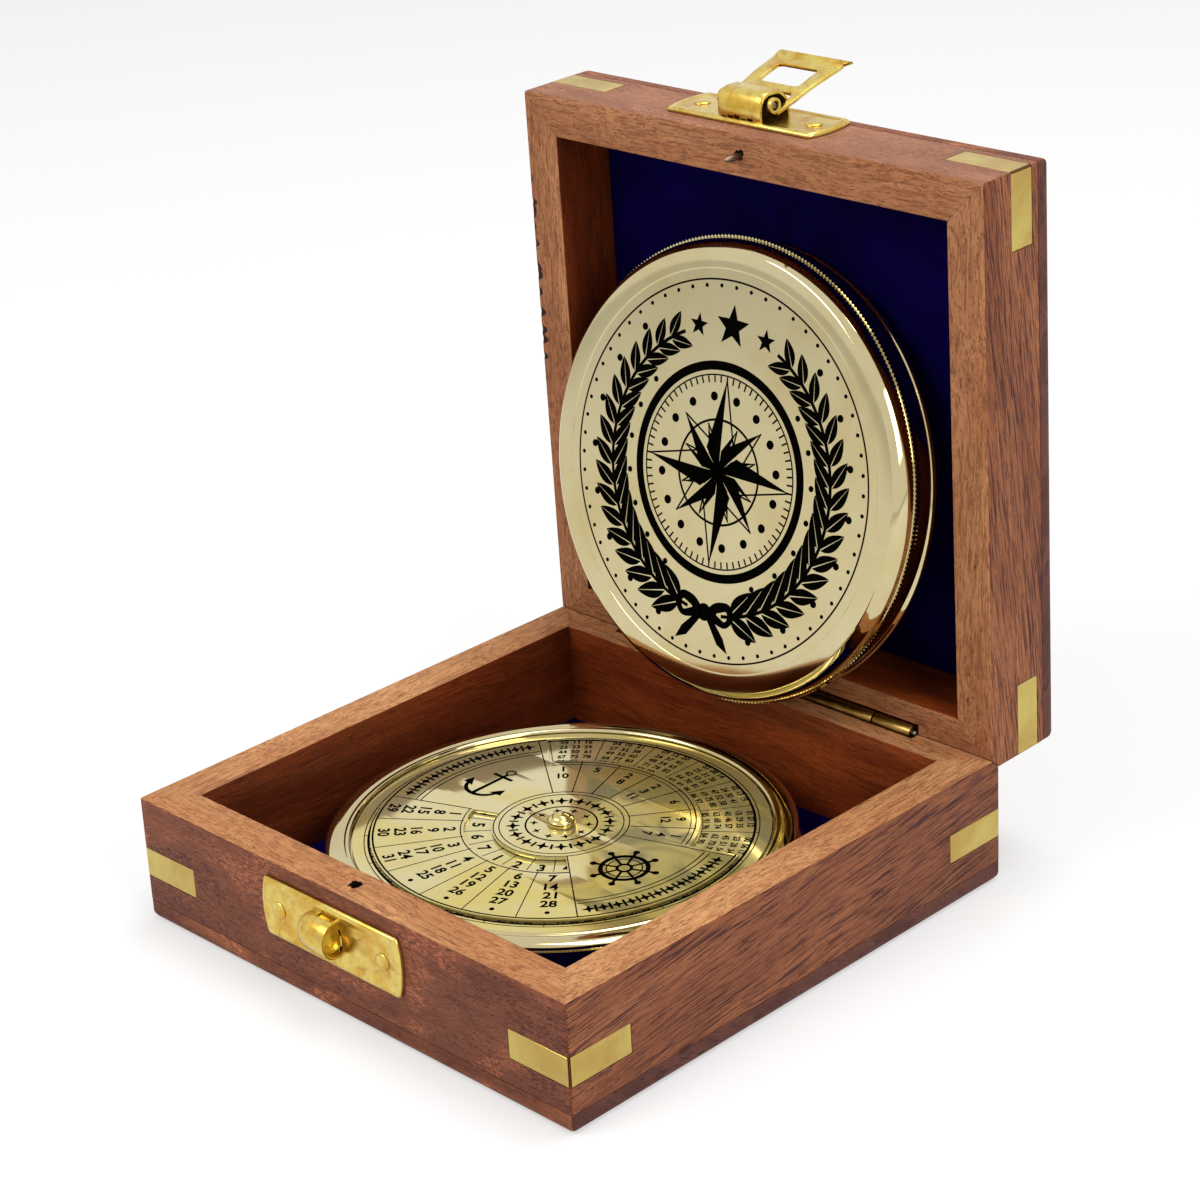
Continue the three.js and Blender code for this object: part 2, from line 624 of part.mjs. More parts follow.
// The hasp about its own axis, hanging down as it does when it is shut: a flat frame with a neck
// and a window, two knuckles round the pin and a lip that curls under the base's half barrel
function hasp() {
  const back = HASP_SHEET - HASP_KNUCKLE_RADIUS;
  const face = -HASP_KNUCKLE_RADIUS;
  const neckHalf = HASP_HALF - HASP_ARM_WIDTH;
  const windowHalf = HASP_WINDOW_WIDTH / 2;
  const reach = HASP_PIN_ABOVE_RIM + BASE_LATCH_BELOW_RIM;
  const bossCentre = [HASP_PIN_HEIGHT, -reach];
  const lipEnd = HALF_TURN_DEG + HASP_LIP_DEG;
  const outer = arcPoints(bossCentre, HASP_PIN_HEIGHT - face, HALF_TURN_DEG, lipEnd, DOME_STEPS);
  const inner = arcPoints(bossCentre, HASP_PIN_HEIGHT - back, lipEnd, HALF_TURN_DEG, DOME_STEPS);
  const frame = prism("x", [[back, 0], [face, 0], ...outer, ...inner], -HASP_HALF, HASP_HALF);
  const neck = block(-neckHalf, neckHalf, face - OVERRUN, back + OVERRUN, -HASP_NECK, OVERRUN);
  const windowTop = -HASP_NECK - HASP_BRIDGE;
  const window = block(
    -windowHalf,
    windowHalf,
    face - OVERRUN,
    back + OVERRUN,
    windowTop - HASP_WINDOW_LENGTH,
    windowTop,
  );
  const knuckles = [-1, 1].map((side) => {
    const ends = [side * neckHalf, side * HASP_HALF].sort((a, b) => a - b);
    return rod(HASP_KNUCKLE_RADIUS, [ends[0], 0, 0], [ends[1], 0, 0], SMALL_SIDES);
  });
  const bore = rod(
    HASP_PIN_HOLE_RADIUS,
    [-HASP_HALF - OVERRUN, 0, 0],
    [HASP_HALF + OVERRUN, 0, 0],
    SMALL_SIDES,
  );
  return cut(join([frame, ...knuckles]), [neck, window, bore]);
}

// Alignment pin and its holes

const ALIGN_PIN_Y = -HALF_DEPTH + ALIGN_PIN_FROM_FRONT;

function alignmentPin() {
  const low = BASE_HEIGHT - ALIGN_PIN_PROUD;
  const high = BASE_HEIGHT + ALIGN_PIN_BEDDED;
  const profile = [
    [0, low],
    [ALIGN_PIN_RADIUS / 2, low],
    [ALIGN_PIN_RADIUS, low + ALIGN_PIN_RADIUS],
    [ALIGN_PIN_RADIUS, high],
    [0, high],
  ];
  return turned(profile, SMALL_SIDES).translate([ALIGN_PIN_X, ALIGN_PIN_Y, 0]);
}

function alignmentHole() {
  return rod(
    ALIGN_PIN_HOLE_RADIUS,
    [ALIGN_PIN_X, ALIGN_PIN_Y, BASE_HEIGHT - ALIGN_PIN_PROUD - ALIGN_PIN_HOLE_SPARE],
    [ALIGN_PIN_X, ALIGN_PIN_Y, BASE_HEIGHT + ALIGN_PIN_BEDDED + ALIGN_PIN_HOLE_SPARE],
    SMALL_SIDES,
  );
}

// Compass pieces, each about the compass's own axis, with the screw lid's lip at height 0 and
// the calendar at the top

const PLATE_LEVEL = FLOOR_END + SEAT_GAP;
const DISC_LEVEL = PLATE_LEVEL + PLATE_THICKNESS + DISC_RUNNING_GAP;
const HEAD_LEVEL = DISC_LEVEL + DISC_THICKNESS + SEAT_GAP;
const TAIL_LEVEL = FLOOR_START - SEAT_GAP - RIVET_TAIL_THICKNESS;
const PIVOT_FOOT_LEVEL = TAIL_LEVEL - SEAT_GAP;
const PIVOT_TIP_LEVEL = PIVOT_FOOT_LEVEL - PIVOT_HEIGHT;
const CUP_TOP_LEVEL = PIVOT_TIP_LEVEL - NEEDLE_TIP_GAP;
const HUB_FOOT_LEVEL = CUP_TOP_LEVEL + NEEDLE_CUP_DEPTH;

function screwLid() {
  return turned([
    [0, LID_CENTRE_DEPTH],
    [LID_CENTRE_RADIUS, LID_CENTRE_DEPTH],
    [LID_CENTRE_RADIUS + LID_CENTRE_SLOPE, LID_FACE_DEPTH],
    [LID_FACE_RADIUS, LID_FACE_DEPTH],
    [LID_LIP_RADIUS - LID_LIP_HALF_WIDTH, 0],
    [LID_LIP_RADIUS + LID_LIP_HALF_WIDTH, 0],
    [SKIRT_RADIUS, SKIRT_SHOULDER],
    [SKIRT_RADIUS, KNURL_START],
    [KNURL_RADIUS, KNURL_START + KNURL_BEVEL],
    [KNURL_RADIUS, SKIRT_END - KNURL_BEVEL],
    [KNURL_RADIUS - KNURL_BEVEL, SKIRT_END],
    [NECK_RADIUS + THREAD_GAP, SKIRT_END],
    [NECK_RADIUS + THREAD_GAP, LID_CEILING],
    [0, LID_CEILING],
  ]);
}

function bowl() {
  const flangeStart = COMPASS_THICKNESS - FLANGE_THICKNESS;
  return turned([
    [RIVET_HOLE_RADIUS, FLOOR_START],
    [BOWL_INNER_RADIUS, FLOOR_START],
    [BOWL_INNER_RADIUS, GLASS_LEDGE],
    [GLASS_BORE_RADIUS, GLASS_LEDGE],
    [GLASS_BORE_RADIUS, NECK_START],
    [NECK_RADIUS, NECK_START],
    [NECK_RADIUS, BODY_START],
    [BODY_RADIUS, BODY_START],
    [BODY_RADIUS, flangeStart],
    [FLANGE_RADIUS, flangeStart + FLANGE_EDGE_ROUND],
    [FLANGE_RADIUS, COMPASS_THICKNESS - FLANGE_EDGE_ROUND],
    [FLANGE_RADIUS - FLANGE_CROWN, COMPASS_THICKNESS],
    [RECESS_RADIUS + BEAD, COMPASS_THICKNESS],
    [RECESS_RADIUS, COMPASS_THICKNESS - BEAD],
    [RECESS_RADIUS, FLOOR_END],
    [RIVET_HOLE_RADIUS, FLOOR_END],
    [RIVET_HOLE_RADIUS, FLOOR_START],
  ]);
}

function ring(outer, inner, low, high, sides = ROUND_SIDES) {
  return turned([[inner, low], [outer, low], [outer, high], [inner, high], [inner, low]], sides);
}

function calendarPlate() {
  return ring(PLATE_RADIUS, RIVET_HOLE_RADIUS, PLATE_LEVEL, PLATE_LEVEL + PLATE_THICKNESS);
}

function sectorOutline(inner, outer, startDeg, endDeg, steps) {
  const far = arcPoints([0, 0], outer, startDeg, endDeg, steps);
  const near = arcPoints([0, 0], inner, endDeg, startDeg, steps);
  return [...far, ...near];
}

// The disc is cut back outside its month cells and pierced for the weekday window
function calendarDisc() {
  const disc = ring(DISC_RADIUS, RIVET_HOLE_RADIUS, DISC_LEVEL, DISC_LEVEL + DISC_THICKNESS);
  const low = DISC_LEVEL - OVERRUN;
  const high = DISC_LEVEL + DISC_THICKNESS + OVERRUN;
  const notch = sectorOutline(
    MONTH_SECTOR_RADIUS,
    DISC_RADIUS + OVERRUN,
    MONTH_SECTOR_START_DEG,
    MONTH_SECTOR_END_DEG,
    ROUND_SIDES / 4,
  );
  const window = sectorOutline(
    WINDOW_INNER_RADIUS,
    WINDOW_OUTER_RADIUS,
    WINDOW_START_DEG,
    WINDOW_END_DEG,
    ROUND_SIDES / 4,
  );
  return cut(disc, [prism("z", notch, low, high), prism("z", window, low, high)]);
}

function discRivet() {
  const dome = [];
  for (let i = 0; i <= DOME_STEPS; i++) {
    const turn = (Math.PI / 2) * (i / DOME_STEPS);
    dome.push([
      RIVET_HEAD_RADIUS * Math.cos(turn),
      HEAD_LEVEL + RIVET_HEAD_EDGE + (RIVET_HEAD_HEIGHT - RIVET_HEAD_EDGE) * Math.sin(turn),
    ]);
  }
  dome[DOME_STEPS][0] = 0;
  const profile = [
    [0, TAIL_LEVEL],
    [RIVET_TAIL_RADIUS, TAIL_LEVEL],
    [RIVET_TAIL_RADIUS, TAIL_LEVEL + RIVET_TAIL_THICKNESS],
    [RIVET_RADIUS, TAIL_LEVEL + RIVET_TAIL_THICKNESS],
    [RIVET_RADIUS, HEAD_LEVEL],
    [RIVET_HEAD_RADIUS, HEAD_LEVEL],
    ...dome,
  ];
  return turned(profile, SMALL_SIDES);
}

function compassCard() {
  const high = FLOOR_START - SEAT_GAP;
  return ring(CARD_RADIUS, CARD_HOLE_RADIUS, high - CARD_THICKNESS, high, INNER_SIDES);
}

function pivotPin() {
  return turned(
    [
      [0, PIVOT_TIP_LEVEL],
      [PIVOT_NECK_RADIUS, PIVOT_TIP_LEVEL + PIVOT_NECK_RADIUS],
      [PIVOT_NECK_RADIUS, PIVOT_FOOT_LEVEL - PIVOT_FOOT_HEIGHT],
      [PIVOT_FOOT_RADIUS, PIVOT_FOOT_LEVEL - PIVOT_FOOT_HEIGHT],
      [PIVOT_FOOT_RADIUS, PIVOT_FOOT_LEVEL],
      [0, PIVOT_FOOT_LEVEL],
    ],
    SMALL_SIDES,
  );
}

// A lozenge needle on a hub whose cup sits over the pivot's point
function needle() {
  const half = NEEDLE_LENGTH / 2;
  const blade = prism(
    "z",
    [[half, 0], [0, NEEDLE_WIDTH / 2], [-half, 0], [0, -NEEDLE_WIDTH / 2]],
    HUB_FOOT_LEVEL - NEEDLE_THICKNESS,
    HUB_FOOT_LEVEL,
  );
  const hub = rod(
    NEEDLE_HUB_RADIUS,
    [0, 0, HUB_FOOT_LEVEL - NEEDLE_HUB_HEIGHT],
    [0, 0, HUB_FOOT_LEVEL],
    SMALL_SIDES,
  );
  const cup = turned(
    [
      [0, CUP_TOP_LEVEL],
      [NEEDLE_CUP_TOP_RADIUS, CUP_TOP_LEVEL],
      [NEEDLE_CUP_RADIUS, HUB_FOOT_LEVEL],
      [NEEDLE_CUP_RADIUS, HUB_FOOT_LEVEL + OVERRUN],
      [0, HUB_FOOT_LEVEL + OVERRUN],
    ],
    SMALL_SIDES,
  );
  return cut(join([blade, hub]), [cup]);
}

function glass() {
  const high = GLASS_LEDGE - SEAT_GAP;
  const profile = [[0, high - GLASS_THICKNESS], [GLASS_RADIUS, high - GLASS_THICKNESS]];
  return turned([...profile, [GLASS_RADIUS, high], [0, high]], INNER_SIDES);
}

function glassRing() {
  const high = GLASS_LEDGE - SEAT_GAP - GLASS_THICKNESS - SEAT_GAP;
  return ring(GLASS_RADIUS, GLASS_RADIUS - GLASS_RING_WIDTH, high - GLASS_RING_THICKNESS, high, INNER_SIDES);
}

// All pieces of one compass in a group of its own
function compass(prefix) {
  const group = new THREE.Group();
  group.add(
    piece(`${prefix}_screw_lid`, screwLid(), "brass"),
    piece(`${prefix}_bowl`, bowl(), "brass"),
    piece(`${prefix}_calendar_plate`, calendarPlate(), "brass"),
    piece(`${prefix}_calendar_disc`, calendarDisc(), "brass"),
    piece(`${prefix}_disc_rivet`, discRivet(), "brass"),
    piece(`${prefix}_compass_card`, compassCard(), "card"),
    piece(`${prefix}_pivot_pin`, pivotPin(), "steel"),
    piece(`${prefix}_needle`, needle(), "needle"),
    piece(`${prefix}_glass`, glass(), "glass"),
    piece(`${prefix}_glass_ring`, glassRing(), "brass"),
  );
  return group;
}

// Base of the box
function base() {
  const inlayHeight = BASE_HEIGHT - BASE_INLAY_BELOW_RIM;
  const latchHeight = BASE_HEIGHT - BASE_LATCH_BELOW_RIM;
  const chamfer = stopChamfer();
  const walls = mitredWalls(BOTTOM_PANEL + GLUE_LINE, BASE_HEIGHT, {
    front: [
      ...inlayBeds(inlayHeight, "front"),
      ...latchNailHoles(BASE_LATCH_X, latchHeight),
      alignmentHole(),
    ],
    rear: [...inlayBeds(inlayHeight, "rear"), ...hingeCuts(), chamfer],
    left: [...inlayBeds(inlayHeight, "left"), chamfer],
    right: [...inlayBeds(inlayHeight, "right"), chamfer],
  });
  const lining = block(
    LINING_CLEARANCE - INNER_X,
    INNER_X - LINING_CLEARANCE,
    LINING_CLEARANCE - INNER_Y,
    INNER_Y - LINING_CLEARANCE,
    BOTTOM_PANEL + GLUE_LINE,
    BASE_FLOOR,
  );
  const nails = nailCentres(BASE_LATCH_X, latchHeight);
  const pinReach = HINGE_HALF + HINGE_PIN_END;
  const group = new THREE.Group();
  group.add(
    ...Object.entries(walls).map(([side, wall]) => piece(`base_${side}_wall`, wall, "wood")),
    piece("base_bottom_panel", roundedPanel(0, BOTTOM_PANEL, false), "wood"),
    piece("base_velvet_lining", lining, "velvet"),
    ...inlayStrips("base", inlayHeight),
    piece("base_hinge_leaf", hingeLeaf(knuckleSpans().base, false), "hinge"),
    piece("hinge_pin", barrelAt(HINGE_PIN_RADIUS, -pinReach, pinReach, SMALL_SIDES), "steel"),
    piece("base_latch_plate", baseLatchPlate(), "latch"),
    piece("base_latch_nail_left", latchNail(nails[0]), "latch"),
    piece("base_latch_nail_right", latchNail(nails[1]), "latch"),
  );
  return group;
}

// Lid of the box, drawn shut and then swung open about the hinge
function lid() {
  const inlayHeight = LID_INLAY_LEVEL;
  const chamfer = stopChamfer();
  const panelStart = CLOSED_HEIGHT - TOP_PANEL;
  const walls = mitredWalls(BASE_HEIGHT + RIM_GAP, panelStart - GLUE_LINE, {
    front: [
      ...inlayBeds(inlayHeight, "front"),
      ...latchNailHoles(LID_LATCH_X, LID_LATCH_Z),
      alignmentHole(),
    ],
    rear: [...inlayBeds(inlayHeight, "rear"), ...hingeCuts(), chamfer],
    left: [...inlayBeds(inlayHeight, "left"), chamfer],
    right: [...inlayBeds(inlayHeight, "right"), chamfer],
  });
  const lining = block(
    LINING_CLEARANCE - INNER_X,
    INNER_X - LINING_CLEARANCE,
    LINING_CLEARANCE - INNER_Y,
    INNER_Y - LINING_CLEARANCE,
    panelStart - GLUE_LINE - LID_LINING,
    panelStart - GLUE_LINE,
  );
  const nails = nailCentres(LID_LATCH_X, LID_LATCH_Z);
  const haspMesh = piece("latch_hasp", hasp(), "latch");
  haspMesh.position.set(LID_LATCH_X, HASP_AXIS_Y, HASP_AXIS_Z);
  haspMesh.rotation.x = -radians(HASP_REST_DEG);
  const closed = new THREE.Group();
  closed.position.set(0, -HINGE_Y, -BASE_HEIGHT);
  closed.add(
    ...Object.entries(walls).map(([side, wall]) => piece(`lid_${side}_wall`, wall, "wood")),
    piece("lid_top_panel", roundedPanel(panelStart, CLOSED_HEIGHT, true), "wood"),
    piece("lid_velvet_lining", lining, "velvet"),
    ...inlayStrips("lid", inlayHeight),
    piece("lid_hinge_leaf", hingeLeaf(knuckleSpans().lid, true), "hinge"),
    piece("lid_latch_plate", lidLatchPlate(), "latch"),
    piece("lid_latch_nail_left", latchNail(nails[0]), "latch"),
    piece("lid_latch_nail_right", latchNail(nails[1]), "latch"),
    piece("latch_pin", haspPin(), "steel"),
    piece("alignment_pin", alignmentPin(), "steel"),
    haspMesh,
  );
  const swung = new THREE.Group();
  swung.position.set(0, HINGE_Y, BASE_HEIGHT);
  swung.rotation.x = -radians(LID_OPENING_DEG);
  swung.add(closed);
  return swung;
}

// The compass that lies in the base, calendar up
function lyingCompass() {
  const group = compass("lying");
  group.position.set(0, LYING_Y, BASE_FLOOR + SEAT_GAP);
  return group;
}

// How far the standing compass leans back from upright before its flange meets the lid's lining
function standingLean(footY) {
  const opening = radians(LID_OPENING_DEG);
  const liningLevel = LID_HEIGHT - TOP_PANEL - GLUE_LINE - LID_LINING;
  const footReach = (footY - HINGE_Y) * Math.sin(opening) + SEAT_GAP * Math.cos(opening);
  const room = liningLevel - STANDING_LINING_GAP - footReach;
  return Math.asin(room / (2 * FLANGE_RADIUS)) + opening - radians(QUARTER_TURN_DEG);
}

// The compass that stands on the base's rear rim: its flange's lowest point is the support
function standingCompass() {
  const group = compass("standing");
  const footY = INNER_Y + STANDING_ON_RIM;
  const lean = standingLean(footY);
  const footZ = BASE_HEIGHT + SEAT_GAP;
  const footLevel = COMPASS_THICKNESS - FLANGE_EDGE_ROUND;
  group.rotation.x = -Math.PI / 2 - lean;
  group.position.set(
    STANDING_X,
    footY + FLANGE_RADIUS * Math.sin(lean) - footLevel * Math.cos(lean),
    footZ + FLANGE_RADIUS * Math.cos(lean) + footLevel * Math.sin(lean),
  );
  return group;
}

const calendarCompassSet = new THREE.Group();
calendarCompassSet.add(base(), lid(), lyingCompass(), standingCompass());

export default calendarCompassSet;
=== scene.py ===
import contextlib
import math
import random
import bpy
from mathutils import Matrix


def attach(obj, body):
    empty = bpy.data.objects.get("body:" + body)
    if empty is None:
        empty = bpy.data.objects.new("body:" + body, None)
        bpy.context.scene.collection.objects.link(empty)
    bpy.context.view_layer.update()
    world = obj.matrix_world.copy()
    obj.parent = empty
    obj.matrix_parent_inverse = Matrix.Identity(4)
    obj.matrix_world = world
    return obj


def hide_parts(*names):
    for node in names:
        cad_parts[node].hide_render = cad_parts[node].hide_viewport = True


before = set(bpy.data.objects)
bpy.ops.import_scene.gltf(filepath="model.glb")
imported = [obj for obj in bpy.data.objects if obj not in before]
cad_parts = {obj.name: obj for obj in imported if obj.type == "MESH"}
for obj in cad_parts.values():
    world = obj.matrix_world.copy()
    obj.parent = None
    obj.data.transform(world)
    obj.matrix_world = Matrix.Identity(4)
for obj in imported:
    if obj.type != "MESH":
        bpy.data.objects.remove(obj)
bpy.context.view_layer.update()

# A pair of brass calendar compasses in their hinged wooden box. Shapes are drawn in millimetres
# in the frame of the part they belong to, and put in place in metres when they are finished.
from types import SimpleNamespace

import bmesh
import bpy
from mathutils import Matrix, Vector, noise

MM = 0.001
scene = bpy.context.scene
dice = random.Random(11)

# Box
HALF = 48.0
WALL = 7.0
BASE_HEIGHT = 21.5
CLOSED_HEIGHT = 38.0
BOTTOM_PANEL = 3.3
TOP_PANEL = 3.5
TOP_ROUNDING = 2.2
FOOT_ROUNDING = 1.4
PANEL_CORNER = 0.6
GLUE_LINE = 0.03
RIM_GAP = 0.05
LID_RIM = BASE_HEIGHT + RIM_GAP
CORNER_ROUND = 0.5
MITRE_GAP = 0.02
LID_OPENING = 89.0
HINGE_AT = Vector((0.0, 46.25, BASE_HEIGHT))
PIN_HOLE_Y = -44.4
LINING_HALF = 40.8

# Inlays
INLAY_LENGTH = 12.0
INLAY_WIDTH = 4.8
INLAY_THICKNESS = 0.45
INLAY_FROM_ARRIS = 0.3
BASE_INLAY_HEIGHT = 10.25
LID_INLAY_HEIGHT = 30.5

# Hinge
BARREL_RADIUS = 1.4
BORE_RADIUS = 0.8
PIN_RADIUS = 0.55
PIN_HALF = 32.8
LEAF_HALF = 0.35
LEAF_DEPTH = 6.5
HINGE_HALF = 32.2
BASE_KNUCKLES = ((-HINGE_HALF, -24.55), (-8.25, 8.25), (24.55, HINGE_HALF))
LID_KNUCKLES = ((-24.25, -8.55), (8.55, 24.25))
GROOVE_RADIUS = 1.75
GROOVE_HALF = 33.1
KERF_HALF_LENGTH = 32.5
KERF_HALF_WIDTH = 0.65
KERF_DEPTH = 6.8
STOP_CHAMFER = 6.0

# Latch
LATCH_BACK_Y = -48.1
BASE_LATCH = (-1.7, LATCH_BACK_Y, 14.0)
LID_LATCH = (-3.4, LATCH_BACK_Y, 29.9)
PLATE_HALF = 15.0
PLATE_RISE = 5.0
PLATE_BULGE = 0.8
PLATE_THICKNESS = 0.8
NAIL_AT = 11.8
HASP_AXIS = (-3.4, -51.2, 28.0)
HASP_REST = 163.0
HASP_HALF = 7.0
HASP_NECK = 4.7
HASP_REACH = 14.0
DENT_DEPTH = 0.16
DENT_PLACES = ((7.3, 1.1, 2.9), (3.7, 9.2, 5.8), (5.1, 4.4, 8.6))
HASP_PIN_RADIUS = 0.6
HASP_PIN_HALF = 5.4

# Compass
RIM_SIDES = 256
STANDING_LEAN = 11.4
STANDING_AT = (-2.4, 39.4798, 60.1399)
LYING_AT = (0.0, -1.9, 4.0)
FACE_LEVEL = 0.2
KNURL_RADIUS = 38.0
KNURL_LEVEL = 3.8
KNURL_RIDGES = 330
CARD_FACE = 7.5
PLATE_FACE = 9.5
PLATE_RADIUS = 33.2
DISC_BACK = 9.65
DISC_FACE = 10.15
DISC_RADIUS = 30.3
NOTCH_RADIUS = 22.0
NOTCH_START, NOTCH_END = 20.0, 140.0
WINDOW_INNER, WINDOW_OUTER = 11.0, 15.5
RIVET_HOLE = 1.5

# Places, from millimetres in a part's own frame to metres in the shared one
TO_METRES = Matrix.Scale(MM, 4)
BASE = TO_METRES
LID = (
    TO_METRES
    @ Matrix.Translation(HINGE_AT)
    @ Matrix.Rotation(math.radians(-LID_OPENING), 4, "X")
    @ Matrix.Translation(-HINGE_AT)
)
LYING = TO_METRES @ Matrix.Translation(LYING_AT)
STANDING = (
    TO_METRES
    @ Matrix.Translation(STANDING_AT)
    @ Matrix.Rotation(math.radians(-90 - STANDING_LEAN), 4, "X")
)
FRONT_FACE = Matrix(((1, 0, 0, 0), (0, 0, -1, 0), (0, 1, 0, 0), (0, 0, 0, 1)))
ALONG_X = Matrix.Rotation(math.radians(90), 4, "Y")
UPSIDE_DOWN = Matrix.Rotation(math.radians(180), 4, "X")
AT_HINGE = Matrix.Translation(HINGE_AT) @ ALONG_X
AT_BASE_LATCH = Matrix.Translation(BASE_LATCH) @ FRONT_FACE
AT_LID_LATCH = Matrix.Translation(LID_LATCH) @ FRONT_FACE
AT_HASP = Matrix.Translation(HASP_AXIS) @ Matrix.Rotation(math.radians(-HASP_REST), 4, "X")


def tone(red, green, blue):
    """A colour as it looks on a screen, from 0 to 255, made linear for a shader."""
    parts = [c / 255 for c in (red, green, blue)]
    return tuple(c / 12.92 if c <= 0.04045 else ((c + 0.055) / 1.055) ** 2.4 for c in parts) + (1.0,)


# Node trees


class Tap:
    """A socket that stands in a Python expression; each operation adds its Math node."""

    def __init__(self, bench, socket):
        self.bench = bench
        self.socket = socket

    def __add__(self, other):
        return self.bench.maths("ADD", self, other)

    __radd__ = __add__

    def __sub__(self, other):
        return self.bench.maths("SUBTRACT", self, other)

    def __rsub__(self, other):
        return self.bench.maths("SUBTRACT", other, self)

    def __mul__(self, other):
        return self.bench.maths("MULTIPLY", self, other)

    __rmul__ = __mul__

    def __truediv__(self, other):
        return self.bench.maths("DIVIDE", self, other)

    def __mod__(self, other):
        return self.bench.maths("FLOORED_MODULO", self, other)


class Bench:
    """One node tree, with a single method that makes any node."""

    def __init__(self, tree):
        self.tree = tree

    def node(self, kind, settings=(), inputs=(), out=0):
        made = self.tree.nodes.new(kind)
        for name, value in dict(settings).items():
            setattr(made, name, value)
        for name, value in dict(inputs).items():
            if isinstance(value, Tap):
                self.tree.links.new(value.socket, made.inputs[name])
            else:
                made.inputs[name].default_value = value
        return Tap(self, made.outputs[out])

    def maths(self, operation, *values):
        return self.node("ShaderNodeMath", {"operation": operation}, enumerate(values))


class Finish(Bench):
    """A material: steady values go straight on the shader, varying ones are linked to it."""

    def __init__(self, name, **steady):
        self.material = bpy.data.materials.new(name)
        self.material.use_nodes = True
        super().__init__(self.material.node_tree)
        self.shader = self.tree.nodes["Principled BSDF"]
        for words, value in steady.items():
            self.shader.inputs[words.replace("_", " ")].default_value = value

    def show(self, **varying):
        for words, value in varying.items():
            self.tree.links.new(value.socket, self.shader.inputs[words.replace("_", " ")])

    def place(self, scale=(1, 1, 1), attribute=None, shift=(0, 0, 0)):
        """Millimetres on the piece, or along its grain, times a scale for each way."""
        if attribute:
            vector = self.node("ShaderNodeAttribute", {"attribute_name": attribute}, (), "Vector")
            size = scale
        else:
            vector = self.node("ShaderNodeTexCoord", (), (), "Object")
            size = tuple(s / MM for s in scale)
        return self.node("ShaderNodeMapping", (), {"Vector": vector, "Scale": size, "Location": shift})

    def cloud(self, vector, detail=3.0, roughness=0.5, distortion=0.0):
        inputs = {"Vector": vector, "Scale": 1.0, "Detail": detail, "Roughness": roughness}
        inputs["Distortion"] = distortion
        return self.node("ShaderNodeTexNoise", (), inputs)

    def ease(self, value, low, high):
        inputs = {"Value": value, "From Min": low, "From Max": high}
        return self.node("ShaderNodeMapRange", {"interpolation_type": "SMOOTHSTEP"}, inputs)

    def mix(self, amount, first, second, way="MIX"):
        settings = {"data_type": "RGBA", "blend_type": way}
        return self.node("ShaderNodeMix", settings, {0: amount, 6: first, 7: second}, 2)

    def relief(self, height, depth, strength=1.0):
        inputs = {"Height": height, "Distance": depth * MM, "Strength": strength}
        self.show(Normal=self.node("ShaderNodeBump", (), inputs, "Normal"))


